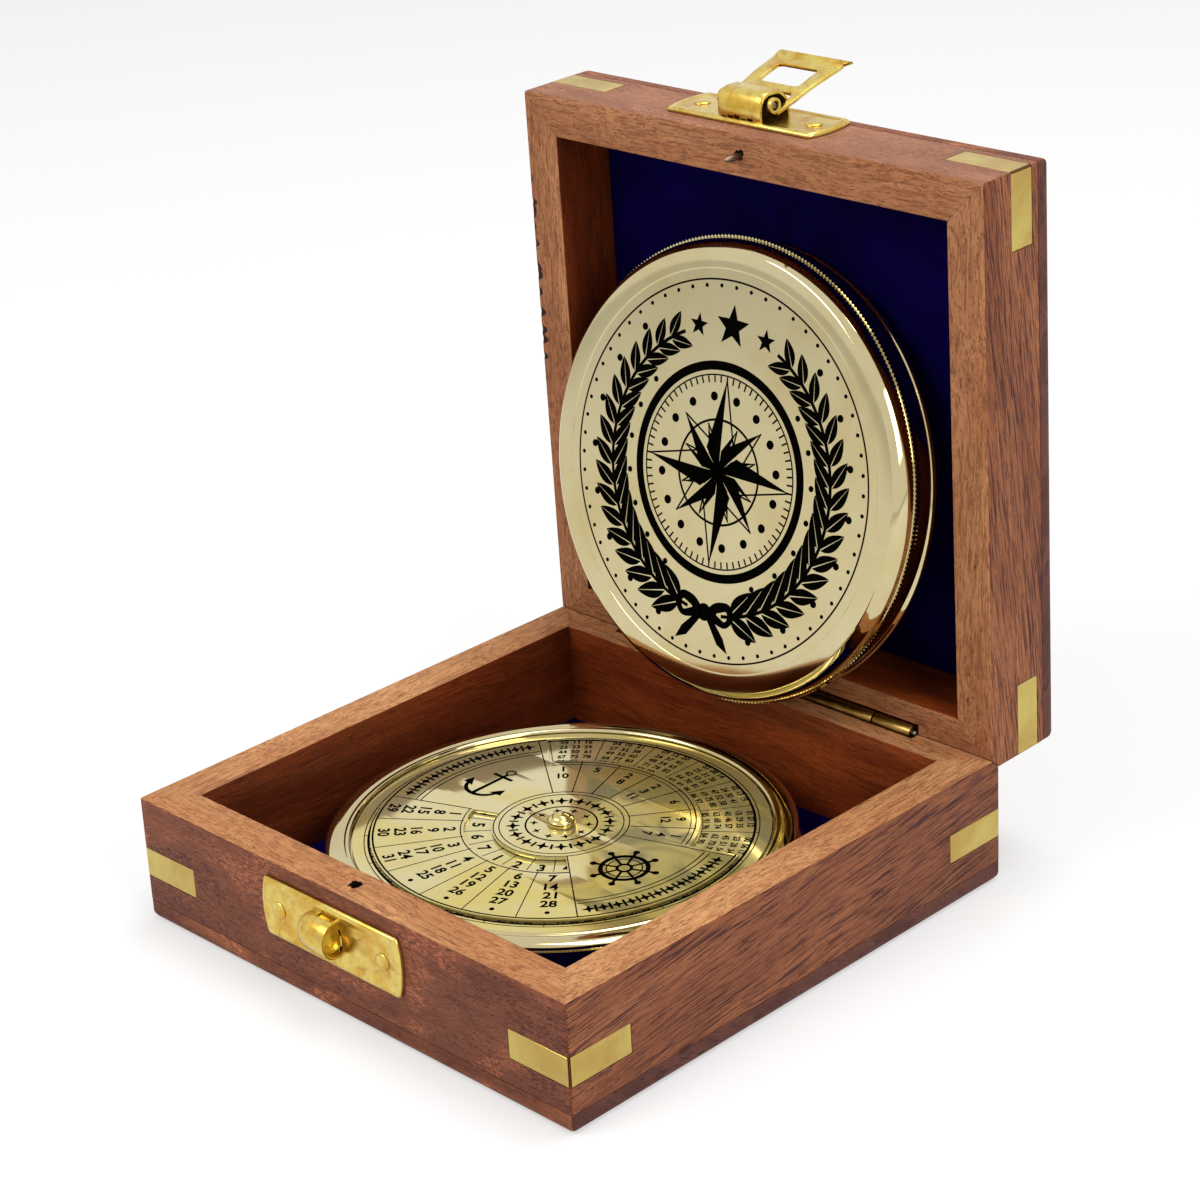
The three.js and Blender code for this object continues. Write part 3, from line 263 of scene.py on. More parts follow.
def wood(name, pale, mid, dark, streaks, dashes, fleck, gloss, shift=0.0, slant=0.0, curl=0.0,
         bend=8.0):
    """Stained hardwood with its grain along the piece: bands, streaks, flecks and pores."""
    finish = Finish(name, Coat_Roughness=0.3, Specular_IOR_Level=0.12)
    here = (shift, shift * 0.7, shift * 0.4)
    sway = finish.cloud(finish.place((0.03, 0.06, 0.06), "grain", here), 2.0)
    along = finish.node("ShaderNodeAttribute", {"attribute_name": "grain"}, (), "Vector")
    push = finish.node("ShaderNodeCombineXYZ", (), {"Y": sway * bend, "Z": sway * bend * 0.5})
    bent = finish.node("ShaderNodeVectorMath", {"operation": "ADD"}, {0: along, 1: push})
    bent = finish.node("ShaderNodeMapping", (), {"Vector": bent, "Rotation": (0.0, 0.0, slant)})

    def stretch(x, y, z):
        return finish.node("ShaderNodeMapping", (), {"Vector": bent, "Scale": (x, y, z), "Location": here})

    bands = finish.cloud(stretch(0.02, 0.19, 0.19), 3.0, 0.55, 0.2)
    fibre = finish.cloud(stretch(0.3, 4.2, 4.2), 5.0, 0.62)
    streak = finish.cloud(stretch(0.1, 3.0, 3.0), 2.0, 0.5)
    fine_streak = finish.cloud(stretch(0.16, 5.6, 5.6), 2.0, 0.5)
    flecks = finish.cloud(stretch(*fleck), 3.0, 0.6, 0.7)
    patch = finish.cloud(stretch(0.04, 0.15, 0.15), 2.0, 0.5, 0.5)
    pore = finish.cloud(stretch(1.1, 8.0, 8.0), 2.0, 0.5)
    deepest = tuple(c * 0.35 for c in dark[:3]) + (1.0,)
    where = finish.ease(patch, 0.34, 0.64)
    colour = finish.mix(finish.ease(bands, 0.36, 0.64), mid, pale)
    colour = finish.mix(finish.ease(fibre, 0.3, 0.75) * 0.3, colour, dark)
    colour = finish.mix(where * 0.22, colour, dark)
    colour = finish.mix(finish.ease(streak, 0.55, 0.59) * (where * 0.5 + 0.5) * streaks, colour, dark)
    colour = finish.mix(finish.ease(fine_streak, 0.55, 0.6) * streaks * 0.9, colour, dark)
    colour = finish.mix(finish.ease(flecks, 0.5, 0.62) * (1.1 - where) * dashes, colour, dark)
    colour = finish.mix(finish.ease(pore, 0.6, 0.7) * 0.55, colour, deepest)
    if curl:
        figure = finish.cloud(stretch(0.07, 0.1, 0.1), 3.0, 0.6, 0.4)
        speck = finish.cloud(stretch(1.0, 3.2, 3.2), 3.0, 0.65, 0.5)
        lit = finish.ease(figure, 0.5, 0.62) * finish.ease(speck, 0.47, 0.6) * curl
        colour = finish.mix(lit, colour, tuple(c * 1.5 for c in pale[:3]) + (1.0,))
        shaded = finish.ease(figure, 0.5, 0.38) * finish.ease(speck, 0.52, 0.4) * curl
        colour = finish.mix(shaded, colour, dark)
    finish.show(Base_Color=colour, Roughness=0.6 - gloss * 0.25 + fibre * 0.14)
    if gloss > 0.1:
        finish.show(Coat_Weight=gloss * 0.14 - finish.ease(pore, 0.55, 0.7) * gloss * 0.1)
    finish.relief(fibre * 0.5 + flecks * 0.3 - finish.ease(pore, 0.58, 0.72) * 0.8, 0.08)
    return finish


def brass(name, bright, warm, roughness, ripple=0.03, stain=0.0, scratch=0.35, blotch=0.05, drag=0.0,
          metal=1.0):
    """Polished brass with faint smears, hairline scratches and, on cheap parts, brown stains."""
    finish = Finish(name, Metallic=metal)
    smear = finish.cloud(finish.place((blotch,) * 3), 4.0, 0.6, 0.4)
    hair = finish.cloud(finish.place((0.25, 3.5, 9.0)), 3.0, 0.6, 0.5)
    cross = finish.cloud(finish.place((7.0, 0.35, 2.0), None, (3, 1, 2)), 3.0, 0.6, 0.5)
    wave = finish.cloud(finish.place((0.12,) * 3), 2.0, 0.4)
    colour = finish.mix(finish.ease(smear, 0.36, 0.68), bright, warm)
    scratches = finish.ease(hair, 0.62, 0.72) * scratch + finish.ease(cross, 0.64, 0.74) * scratch * 0.6
    colour = finish.mix(scratches * 0.35, colour, tone(150, 128, 78))
    if stain:
        spots = finish.cloud(finish.place((0.42,) * 3, None, (5, 2, 7)), 5.0, 0.65, 0.8)
        colour = finish.mix(finish.ease(spots, 0.52, 0.72) * stain, colour, tone(140, 92, 46))
    finish.show(Base_Color=colour, Roughness=smear * 0.06 + scratches * 0.22 + (roughness - 0.03))
    finish.relief(wave * ripple + hair * 0.004 * drag + cross * 0.003 * drag, 1.0)
    return finish


wood_figured = wood(
    "figured_wood", tone(146, 85, 56), tone(124, 70, 48), tone(72, 34, 28),
    streaks=0.25, dashes=0.95, fleck=(0.9, 3.0, 3.0), gloss=0.5, curl=0.8
)
wood_pale = wood(
    "pale_figured_wood", tone(168, 118, 88), tone(150, 102, 76), tone(104, 60, 48),
    streaks=0.2, dashes=0.6, fleck=(1.2, 3.0, 3.0), gloss=0.4, shift=41.0, curl=0.5
)
wood_streaked = wood(
    "streaked_wood", tone(162, 102, 64), tone(142, 84, 52), tone(70, 32, 28),
    streaks=1.0, dashes=0.1, fleck=(0.8, 2.4, 2.4), gloss=0.5, shift=17.0, slant=-0.12, bend=2.0
)
wood_rim = wood(
    "sawn_wood_rim", tone(208, 154, 104), tone(192, 134, 88), tone(116, 66, 40),
    streaks=0.5, dashes=0.5, fleck=(0.4, 3.6, 3.6), gloss=0.05, shift=31.0, slant=-0.05
)
wood_lid_rim = wood(
    "sawn_lid_rim", tone(188, 132, 90), tone(170, 112, 74), tone(104, 58, 36),
    streaks=0.5, dashes=0.5, fleck=(0.4, 3.6, 3.6), gloss=0.05, shift=3.0, slant=-0.05
)
# The inside wood is stained dark, and its colours are darkened further as painted shade inside the box.
wood_inside_stain_and_shade = wood(
    "stained_wood_inside", tone(124, 54, 20), tone(98, 38, 12), tone(46, 15, 6),
    streaks=0.5, dashes=0.2, fleck=(0.8, 2.4, 2.4), gloss=0.8, shift=57.0
)
# The rear inside board is a lighter copy of the inside wood: painted light, so the rear wall looks brighter
# than the other inside walls.
rear_lining_painted_light = wood(
    "stained_wood_inside_rear", tone(164, 76, 30), tone(132, 54, 18), tone(62, 22, 8),
    streaks=0.5, dashes=0.2, fleck=(0.8, 2.4, 2.4), gloss=0.8, shift=71.0
)
wood_panel = wood(
    "speckled_panel_wood", tone(160, 98, 62), tone(130, 72, 50), tone(74, 36, 28),
    streaks=0.2, dashes=0.9, fleck=(1.0, 3.2, 3.2), gloss=0.4, shift=5.0, curl=1.0
)
wood_end = wood(
    "end_grain", tone(112, 70, 58), tone(92, 54, 46), tone(60, 32, 30),
    streaks=0.2, dashes=0.8, fleck=(2.4, 0.8, 1.2), gloss=0.3, shift=83.0
)
wood_chip = wood(
    "chipped_wood", tone(70, 34, 24), tone(52, 24, 18), tone(24, 10, 8),
    streaks=0.3, dashes=0.6, fleck=(1.2, 2.6, 2.6), gloss=0.0, shift=97.0
)
# The pin hole's walls are coloured near black: painted shade deep inside the hole.
pin_hole_painted_shade = wood(
    "torn_hole", tone(36, 14, 8), tone(20, 7, 4), tone(6, 2, 2),
    streaks=0.3, dashes=0.6, fleck=(1.2, 2.6, 2.6), gloss=0.0, shift=13.0
)
inlay_brass = brass(
    "inlay_brass", tone(198, 178, 100), tone(182, 152, 80),
    roughness=0.34, ripple=0.01, stain=0.15, scratch=1.0, blotch=0.1, drag=1.5
)
latch_brass = brass(
    "latch_brass", tone(216, 194, 106), tone(200, 158, 60),
    roughness=0.24, ripple=0.05, stain=0.45, scratch=0.6, blotch=0.3, drag=1.0
)
hammered_brass = brass(
    "hammered_brass", tone(214, 202, 150), tone(200, 176, 96),
    roughness=0.1, ripple=0.25, scratch=0.4, blotch=0.5
)
hinge_brass = brass(
    "hinge_brass", tone(160, 130, 72), tone(124, 92, 44),
    roughness=0.3, ripple=0.03, stain=0.6, scratch=0.8, blotch=0.3, drag=1.0
)
compass_brass = brass(
    "compass_brass", tone(203, 191, 150), tone(196, 180, 132), roughness=0.06, ripple=0.006, scratch=0.25
)
dial_brass = brass(
    "dial_brass", tone(208, 197, 148), tone(206, 188, 108),
    roughness=0.1, ripple=0.004, scratch=0.3, metal=0.7
)
pin_steel = brass(
    "pin_steel", tone(128, 118, 104), tone(98, 80, 62),
    roughness=0.4, ripple=0.02, stain=0.4, scratch=0.8, blotch=0.4, drag=1.0
)
needle_blue = brass(
    "blued_steel", tone(62, 84, 130), tone(40, 52, 92), roughness=0.2, ripple=0.01, scratch=0.3
)


def velvet_finish():
    finish = Finish("blue_velvet", Sheen_Weight=0.05, Sheen_Roughness=0.4, Sheen_Tint=tone(84, 60, 190))
    finish.shader.inputs["Specular IOR Level"].default_value = 0.02
    nap = finish.cloud(finish.place((0.05, 0.05, 0.05)), 4.0, 0.6, 0.9)
    tufts = finish.cloud(finish.place((3.2, 3.2, 3.2)), 3.0, 0.7)
    colour = finish.mix(finish.ease(nap, 0.35, 0.7), tone(7, 1, 52), tone(11, 2, 70))
    colour = finish.mix(finish.ease(tufts, 0.4, 0.75) * 0.5, colour, tone(5, 1, 28))
    finish.show(Base_Color=colour, Roughness=tufts * 0.2 + 0.78)
    finish.relief(tufts * 0.6 + nap * 0.4, 0.25)
    return finish


def ink_finish():
    finish = Finish("black_print", Specular_IOR_Level=0.0)
    grain = finish.cloud(finish.place((2.0, 2.0, 2.0)), 3.0)
    finish.show(Base_Color=finish.mix(grain, tone(2, 2, 2), tone(9, 8, 7)), Roughness=grain * 0.2 + 0.6)
    return finish


def card_finish():
    finish = Finish("dial_card", Specular_IOR_Level=0.3)
    pulp = finish.cloud(finish.place((1.5, 1.5, 1.5)), 4.0)
    colour = finish.mix(pulp, tone(244, 238, 218), tone(232, 222, 194))
    finish.show(Base_Color=colour, Roughness=pulp * 0.2 + 0.55)
    finish.relief(pulp, 0.01)
    return finish


def glass_finish():
    finish = Finish("clear_glass", Transmission_Weight=1.0, IOR=1.5)
    dust = finish.cloud(finish.place((0.2, 0.2, 0.2)), 4.0)
    colour = finish.mix(dust, tone(250, 252, 252), tone(238, 244, 244))
    finish.show(Base_Color=colour, Roughness=dust * 0.04)
    return finish


velvet = velvet_finish()
ink = ink_finish()
card = card_finish()
glass = glass_finish()

# Shapes in millimetres


def polar(radius, angle):
    """The point at a radius and an angle in degrees."""
    turn = math.radians(angle)
    return radius * math.cos(turn), radius * math.sin(turn)


def around(radius, sides):
    """Points spread evenly round a circle."""
    turns = [2 * math.pi * k / sides for k in range(sides)]
    return [(radius * math.cos(t), radius * math.sin(t)) for t in turns]


def arc_points(radius, start, end, steps):
    return [polar(radius, start + (end - start) * k / steps) for k in range(steps + 1)]


class Shape:
    """Corners and faces of a piece, gathered before its mesh is made."""

    def __init__(self):
        self.corners = []
        self.faces = []

    def ring(self, points):
        start = len(self.corners)
        self.corners += [tuple(p) for p in points]
        return list(range(start, start + len(points)))

    def bridge(self, low, high, closed=True):
        """Faces between two rows of corners; a row of one corner is a pole."""
        count = max(len(low), len(high))
        for i in range(count if closed else count - 1):
            j = (i + 1) % count
            face = [low[i % len(low)], low[j % len(low)], high[j % len(high)], high[i % len(high)]]
            kept = [c for k, c in enumerate(face) if c != face[k - 1]]
            if len(kept) > 2:
                self.faces.append(kept)

    def loft(self, rows):
        """A closed solid through rows of corners, capped at both ends."""
        rings = [self.ring(row) for row in rows]
        for low, high in zip(rings, rings[1:]):
            self.bridge(low, high)
        for end in (rings[0][::-1], rings[-1]):
            if len(end) > 2:
                self.faces.append(end)
        return self

    def prism(self, outline, low, high):
        return self.loft([[(x, y, low) for x, y in outline], [(x, y, high) for x, y in outline]])

    def turned(self, profile, sides=RIM_SIDES, loop=False):
        """A solid of revolution about Z from radius and height; radius 0 is a pole."""
        rows = []
        for radius, height in profile:
            spots = around(radius, sides if radius > 1e-6 else 1)
            rows.append(self.ring([(x, y, height) for x, y in spots]))
        for low, high in zip(rows, rows[1:] + rows[:1] if loop else rows[1:]):
            self.bridge(low, high)
        return self

    def block(self, x0, x1, y0, y1, z0, z1):
        return self.prism([(x0, y0), (x1, y0), (x1, y1), (x0, y1)], z0, z1)

    def add(self, corners, faces):
        start = len(self.corners)
        self.corners += [tuple(c) for c in corners]
        self.faces += [[start + i for i in face] for face in faces]
        return self

    def join(self, other):
        return self.add(other.corners, other.faces)

    def moved(self, matrix):
        self.corners = [tuple(matrix @ Vector(c)) for c in self.corners]
        return self

    def shifted(self, x, y, z=0.0):
        self.corners = [(a + x, b + y, c + z) for a, b, c in self.corners]
        return self

    def mesh(self, name="blank"):
        mesh = bpy.data.meshes.new(name)
        mesh.from_pydata(self.corners, [], self.faces)
        return outward(mesh)


@contextlib.contextmanager
def opened(mesh):
    """A mesh opened for work on its corners and faces, and written back after it."""
    work = bmesh.new()
    work.from_mesh(mesh)
    yield work
    work.to_mesh(mesh)
    work.free()


def outward(mesh):
    """A mesh with every closed shell's faces turned outwards."""
    with opened(mesh) as work:
        bmesh.ops.recalc_face_normals(work, faces=work.faces[:])
    return mesh


def welded(mesh, gap=1e-4):
    """A mesh whose doubled corners are one, its faces turned outwards."""
    with opened(mesh) as work:
        bmesh.ops.remove_doubles(work, verts=work.verts[:], dist=gap)
    return outward(mesh)


def shape_of(mesh):
    """A mesh as a shape again."""
    return Shape().add([v.co for v in mesh.vertices], [f.vertices for f in mesh.polygons])


def merged(meshes):
    """Several meshes as one shape, each still its own shell."""
    shape = Shape()
    for mesh in meshes:
        shape.join(shape_of(mesh))
    return shape


def eased(points, radius, steps=3, loop=False):
    """An outline with its corners rounded, by one radius or by one for each corner."""
    count = len(points)
    radii = list(radius) if hasattr(radius, "__len__") else [radius] * count
    made = []
    for i, here in enumerate(points):
        if radii[i] <= 0 or (not loop and i in (0, count - 1)):
            made.append(tuple(here))
            continue
        corner = Vector(here)
        before, after = Vector(points[i - 1]) - corner, Vector(points[(i + 1) % count]) - corner
        reach = min(radii[i], before.length * 0.48, after.length * 0.48)
        start, end = corner + before.normalized() * reach, corner + after.normalized() * reach
        for k in range(steps + 1):
            t = k / steps
            made.append(tuple(start * (1 - t) ** 2 + corner * 2 * t * (1 - t) + end * t * t))
    return made


def inset(outline, by):
    """A convex outline moved inwards, given anticlockwise."""
    made = []
    count = len(outline)
    for i in range(count):
        before, here, after = Vector(outline[i - 1]), Vector(outline[i]), Vector(outline[(i + 1) % count])
        one, two = (here - before).normalized(), (after - here).normalized()
        inward = Vector((-one.y - two.y, one.x + two.x))
        inward.normalize()
        lean = max(0.35, inward.dot(Vector((-one.y, one.x))))
        made.append(tuple(here + inward * by / lean))
    return made


def evaluated(blank):
    """The plain mesh of an object and its modifiers, which are then removed with it."""
    depsgraph = bpy.context.evaluated_depsgraph_get()
    mesh = bpy.data.meshes.new_from_object(blank.evaluated_get(depsgraph))
    bpy.data.objects.remove(blank)
    return mesh


def on_bench(mesh, name="blank"):
    blank = bpy.data.objects.new(name, mesh)
    scene.collection.objects.link(blank)
    return blank


def carved(mesh, tools):
    """A mesh with closed shapes cut out of it."""
    blank = on_bench(mesh)
    cutters = [on_bench(tool.mesh("tool")) for tool in tools]
    for cutter in cutters:
        cut = blank.modifiers.new("cut", "BOOLEAN")
        cut.operation = "DIFFERENCE"
        cut.solver = "EXACT"
        cut.object = cutter
    made = evaluated(blank)
    for cutter in cutters:
        bpy.data.objects.remove(cutter)
    return made


def softened(mesh, width, segments=2, limit=35):
    """A mesh with its sharp edges bevelled."""
    blank = on_bench(mesh)
    bevel = blank.modifiers.new("arris", "BEVEL")
    bevel.width = width
    bevel.segments = segments
    bevel.limit_method = "ANGLE"
    bevel.angle_limit = math.radians(limit)
    return evaluated(blank)


def flat_plate(outlines, low, high, ease=0.0):
    """A plate with holes, from its outline and the outlines of its holes, with eased edges."""
    curve = bpy.data.curves.new("plate", "CURVE")
    curve.dimensions = "2D"
    curve.fill_mode = "BOTH"
    for outline in outlines:
        spline = curve.splines.new("POLY")
        spline.points.add(len(outline) - 1)
        for point, (x, y) in zip(spline.points, outline):
            point.co = (x, y, 0, 1)
        spline.use_cyclic_u = True
    curve.extrude = (high - low) / 2 - ease
    curve.bevel_depth = ease
    curve.bevel_resolution = 1
    curve.offset = -ease
    mesh = evaluated(on_bench(curve, "plate"))
    bpy.data.curves.remove(curve)
    mesh.transform(Matrix.Translation((0, 0, (low + high) / 2)))
    return welded(mesh, 1e-3)


def dressed(name, made, place, finishes, body, slot, replaces=(), crease=32, broad=0.0):
    """Puts a finished mesh in its place as a piece that rides on its body."""
    mesh = made.mesh(name) if isinstance(made, Shape) else made
    mesh.name = name
    kinds = [face.material_index for face in mesh.polygons]
    mesh.materials.clear()
    for finish in finishes:
        mesh.materials.append(finish.material)
    mesh.polygons.foreach_set("material_index", kinds if len(finishes) > 1 else [0] * len(kinds))
    for face in mesh.polygons:
        face.use_smooth = not broad or face.area < broad
    mesh.set_sharp_from_angle(angle=math.radians(crease))
    mesh.transform(place)
    piece = bpy.data.objects.new(name, mesh)
    scene.collection.objects.link(piece)
    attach(piece, body)
    if replaces:
        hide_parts(*replaces)
    return piece


# Camera, light and floor

CAMERA_AT = Vector((319.495, -299.25, 245.317))
CAMERA_RIGHT = Vector((0.69689, 0.7148, -0.058348))
CAMERA_DOWN = Vector((0.230374, -0.300162, -0.925651))
CAMERA_FORWARD = Vector((-0.67917, 0.631636, -0.373851))
LENS = 93.249
SENSOR = 36.0
SHIFT_X, SHIFT_Y = 0.05, -0.0833

camera = bpy.data.objects.new("photo_camera", bpy.data.cameras.new("photo_camera"))
scene.collection.objects.link(camera)
scene.camera = camera
looking = Matrix((CAMERA_RIGHT, -CAMERA_DOWN, -CAMERA_FORWARD)).transposed().to_4x4()
camera.matrix_world = Matrix.Translation(CAMERA_AT * MM) @ looking
camera.data.sensor_width = SENSOR
camera.data.lens = LENS
camera.data.shift_x = SHIFT_X
camera.data.shift_y = SHIFT_Y
camera.data.clip_start = 0.01
scene.view_settings.view_transform = "Standard"


def lamp(name, at, size, watts, colour=(1.0, 1.0, 1.0), aim=(0, 0, 0.05)):
    """A softbox: its place, size and aim in metres."""
    light = bpy.data.lights.new(name, "AREA")
    light.shape = "RECTANGLE"
    light.size, light.size_y = size
    light.energy = watts
    light.color = colour
    holder = bpy.data.objects.new(name, light)
    scene.collection.objects.link(holder)
    holder.location = at
    holder.rotation_euler = (Vector(at) - Vector(aim)).to_track_quat("Z", "Y").to_euler()


lamp("key_softbox", (-0.35, -0.75, 0.85), (0.6, 0.45), 5.2, (1.0, 0.985, 0.96))
lamp("side_softbox", (0.85, -0.15, 0.55), (0.45, 0.5), 4.0, (1.0, 0.99, 0.97))
lamp("top_softbox", (0.1, 0.25, 1.0), (0.7, 0.5), 5.4)


def seen_by_eye(bench):
    """1 for a ray that the camera sees straight, in a polished face or through glass."""
    rays = [bench.node("ShaderNodeLightPath", (), (), f"Is {kind} Ray") for kind in
            ("Camera", "Glossy", "Transmission")]
    return bench.maths("MAXIMUM", bench.maths("MAXIMUM", rays[0], rays[1]), rays[2])


def pale_surroundings():
    world = bpy.data.worlds.new("pale_room")
    scene.world = world
    world.use_nodes = True
    bench = Bench(world.node_tree)
    backdrop = world.node_tree.nodes["Background"]
    strength = 0.5 + seen_by_eye(bench) * 0.5
    world.node_tree.links.new(strength.socket, backdrop.inputs["Strength"])
    backdrop.inputs["Color"].default_value = (1.0, 1.0, 1.0, 1.0)


def pale_floor():
    """A wide slab whose top lies just under the box."""
    reach, thickness, gap = 3000, 60, 0.02
    slab = Shape().block(-reach, reach, -reach, reach, -thickness, -gap)
    floor = on_bench(slab.mesh("floor"), "floor")
    floor.data.transform(TO_METRES)
    finish = Finish("pale_floor", Base_Color=(0.86, 0.86, 0.86, 1.0), Roughness=0.9, Specular_IOR_Level=0.1)
    glow = finish.node("ShaderNodeEmission", (), {"Color": (1.0, 1.0, 1.0, 1.0), "Strength": 1.0})
    mixed = finish.node("ShaderNodeMixShader", (), {0: seen_by_eye(finish) * 0.45, 2: glow})
    finish.tree.links.new(finish.shader.outputs[0], mixed.socket.node.inputs[1])
    finish.tree.links.new(mixed.socket, finish.tree.nodes["Material Output"].inputs["Surface"])
    floor.data.materials.append(finish.material)


pale_surroundings()
pale_floor()

# Wooden box

SIDES = {
    "front": lambda s, depth: (s, depth - HALF),
    "rear": lambda s, depth: (s, HALF - depth),
    "left": lambda s, depth: (depth - HALF, s),
    "right": lambda s, depth: (HALF - depth, s),
}
ENDS = {
    "front": ("left", "right"), "rear": ("left", "right"),
    "left": ("front", "rear"), "right": ("front", "rear")
}
END_SIGN = {"left": -1, "right": 1, "front": -1, "rear": 1}
BASE_HALF = SimpleNamespace(
    name="base", body="box_base", place=BASE,
    low=BOTTOM_PANEL + GLUE_LINE, high=BASE_HEIGHT, rim=BASE_HEIGHT,
    inlays_at=BASE_INLAY_HEIGHT, latch=BASE_LATCH, pin_hole=(17.6, 22.0, 1.05, 0.22),
    front_wood=wood_figured, rim_wood=wood_rim, grain_from=0
)
LID_HALF = SimpleNamespace(
    name="lid", body="box_lid", place=LID,
    low=LID_RIM, high=CLOSED_HEIGHT - TOP_PANEL - GLUE_LINE, rim=LID_RIM,
    inlays_at=LID_INLAY_HEIGHT, latch=LID_LATCH, pin_hole=(21.0, 27.3, 0.95, 0.35),
    front_wood=wood_pale, rim_wood=wood_lid_rim, grain_from=900
)
HALVES = (BASE_HALF, LID_HALF)


def mitred_wall(side, low, high, rim_at_top):
    """One wall with rounded arrises, mitred ends and its half of the rounded box corners."""
    rim, glued = (0.35, 0.3), (0.22, 0.1)
    radii = [glued[0], rim[0], rim[1], glued[1]] if rim_at_top else [rim[0], glued[0], glued[1], rim[1]]
    profile = eased([(0, low), (0, high), (WALL, high), (WALL, low)], radii, 4, True)
    steps = 5
    last = CORNER_ROUND * (1 - math.cos(math.radians(45)))
    half = []
    for k in range(steps + 1):
        angle = math.radians(45 * k / steps)
        back = CORNER_ROUND * (1 - math.cos(angle))
        short = CORNER_ROUND * (math.sin(math.radians(45)) - math.sin(angle))
        column = []
        for depth, height in profile:
            end = HALF - (last + depth * (WALL - last) / WALL) - MITRE_GAP
            s = end - short * (1 - 0.9 * depth / WALL)
            column.append((s, back + depth * (WALL - back) / WALL, height))
        half.append(column)
    columns = [[(-s, d, z) for s, d, z in column] for column in half[::-1]] + half
    return Shape().loft([[(*SIDES[side](s, d), z) for s, d, z in column] for column in columns])


def inlay_bed(face, end, height):
    """What is cut out for one inlay, with a little room round it."""
    room = 0.1
    near, far = INLAY_FROM_ARRIS - room, INLAY_FROM_ARRIS + INLAY_LENGTH + room
    sign = END_SIGN[end]
    span = sorted((sign * (HALF - near), sign * (HALF - far)))
    rise = INLAY_WIDTH / 2 + room
    spots = [SIDES[face](s, d) for s in span for d in (-2.0, INLAY_THICKNESS + 0.05)]
    xs, ys = [p[0] for p in spots], [p[1] for p in spots]
    return Shape().block(min(xs), max(xs), min(ys), max(ys), height - rise, height + rise)


def rod(radius, low, high, sides):
    return Shape().turned([(0, low), (radius, low), (radius, high), (0, high)], sides)


def hinge_cuts():
    """The groove for the barrel and the saw kerf for the leaves."""
    groove = rod(GROOVE_RADIUS, -GROOVE_HALF, GROOVE_HALF, 32).moved(AT_HINGE)
    near, far = HINGE_AT.y - KERF_HALF_WIDTH, HINGE_AT.y + KERF_HALF_WIDTH
    low, high = BASE_HEIGHT - KERF_DEPTH, BASE_HEIGHT + KERF_DEPTH
    return [groove, Shape().block(-KERF_HALF_LENGTH, KERF_HALF_LENGTH, near, far, low, high)]


def stop_chamfer():
    """The slope behind the hinge that lets the lid open."""
    y, reach = HINGE_AT.y - 0.1, HALF + 7
    outline = [
        (y, BASE_HEIGHT), (y + STOP_CHAMFER, BASE_HEIGHT - STOP_CHAMFER),
        (y + STOP_CHAMFER, BASE_HEIGHT + STOP_CHAMFER)
    ]
    return Shape().loft([[(x, a, b) for a, b in outline] for x in (-reach, reach)])


def ragged_hole(low, high, radius, rough):
    """A hole with a slightly torn edge, round the alignment pin."""
    sides = 20
    outline = []
    for i in range(sides):
        angle = 2 * math.pi * i / sides
        reach = radius * (1 + rough * dice.uniform(-1, 1))
        outline.append((reach * math.cos(angle), PIN_HOLE_Y + reach * math.sin(angle)))
    return Shape().prism(outline, low, high)


def nail_hole(latch, side):
    at = Matrix.Translation((latch[0] + side * NAIL_AT, -HALF, latch[2]))
    return rod(0.95, -2, 4.9, 20).moved(at @ Matrix.Rotation(math.radians(-90), 4, "X"))


CHIPS = 13
CHIPS_FROM = -32.5
CHIP_PITCH = 2.9


def chips():
    """Small bites out of the lid's left rim, where its outer arris has split."""
    tools = []
    for k in range(CHIPS):
        y = CHIPS_FROM + CHIP_PITCH * k + dice.uniform(-0.9, 0.9)
        deep, long = dice.uniform(0.5, 1.7), dice.uniform(0.7, 2.4)
        rows = []
        for step in (-1.0, -0.5, 0.1, 0.6, 1.0):
            reach = deep * (1.05 - step * step) * dice.uniform(0.75, 1.1)
            rows.append([(-HALF - 0.1 + a, y + long * step, LID_RIM + b * 0.2) for a, b in around(reach, 7)])
        tools.append(Shape().loft(rows))
    return tools


def wall_cuts(half, side):
    """What is cut from a wall: beds for its inlays, and what the latch, pin and hinge need."""
    tools = [inlay_bed(side, end, half.inlays_at) for end in ENDS[side]]
    if side == "front":
        return tools + [nail_hole(half.latch, -1), nail_hole(half.latch, 1), ragged_hole(*half.pin_hole)]
    if side == "rear":
        tools += hinge_cuts()
    tools.append(stop_chamfer())
    if half is LID_HALF and side == "left":
        tools += chips()
    return tools


def sort_wood(mesh, half, side):
    """Face by face: 0 outside, 1 sawn rim, 2 inside (stained dark, and darkened further as painted shade), 3
    the torn pin hole (painted near black as shade), 4 a chip.
    """
    split = half is LID_HALF and side == "left"
    for face in mesh.polygons:
        x, y, z = face.center
        depth = HALF - abs(y if side in ("front", "rear") else x)
        above = z - half.rim
        if math.hypot(x, y - PIN_HOLE_Y) < 1.5 and abs(above) > 0.15:
            kind = 3
        elif split and -37 < y < 7 and 0.04 < above < 0.9 and 0.02 < depth < 2.2 and face.area < 3:
            kind = 4
        elif abs(above) < 0.4 and abs(face.normal.z) > 0.6:
            kind = 1
        else:
            kind = 2 if depth > 0.6 else 0
        face.material_index = kind


def grain_on(mesh, grain_at):
    """Keeps where each corner is along, across and into the grain."""
    grain = mesh.attributes.new("grain", "FLOAT_VECTOR", "POINT")
    for corner, spot in zip(mesh.vertices, grain.data):
        spot.vector = grain_at(*corner.co)


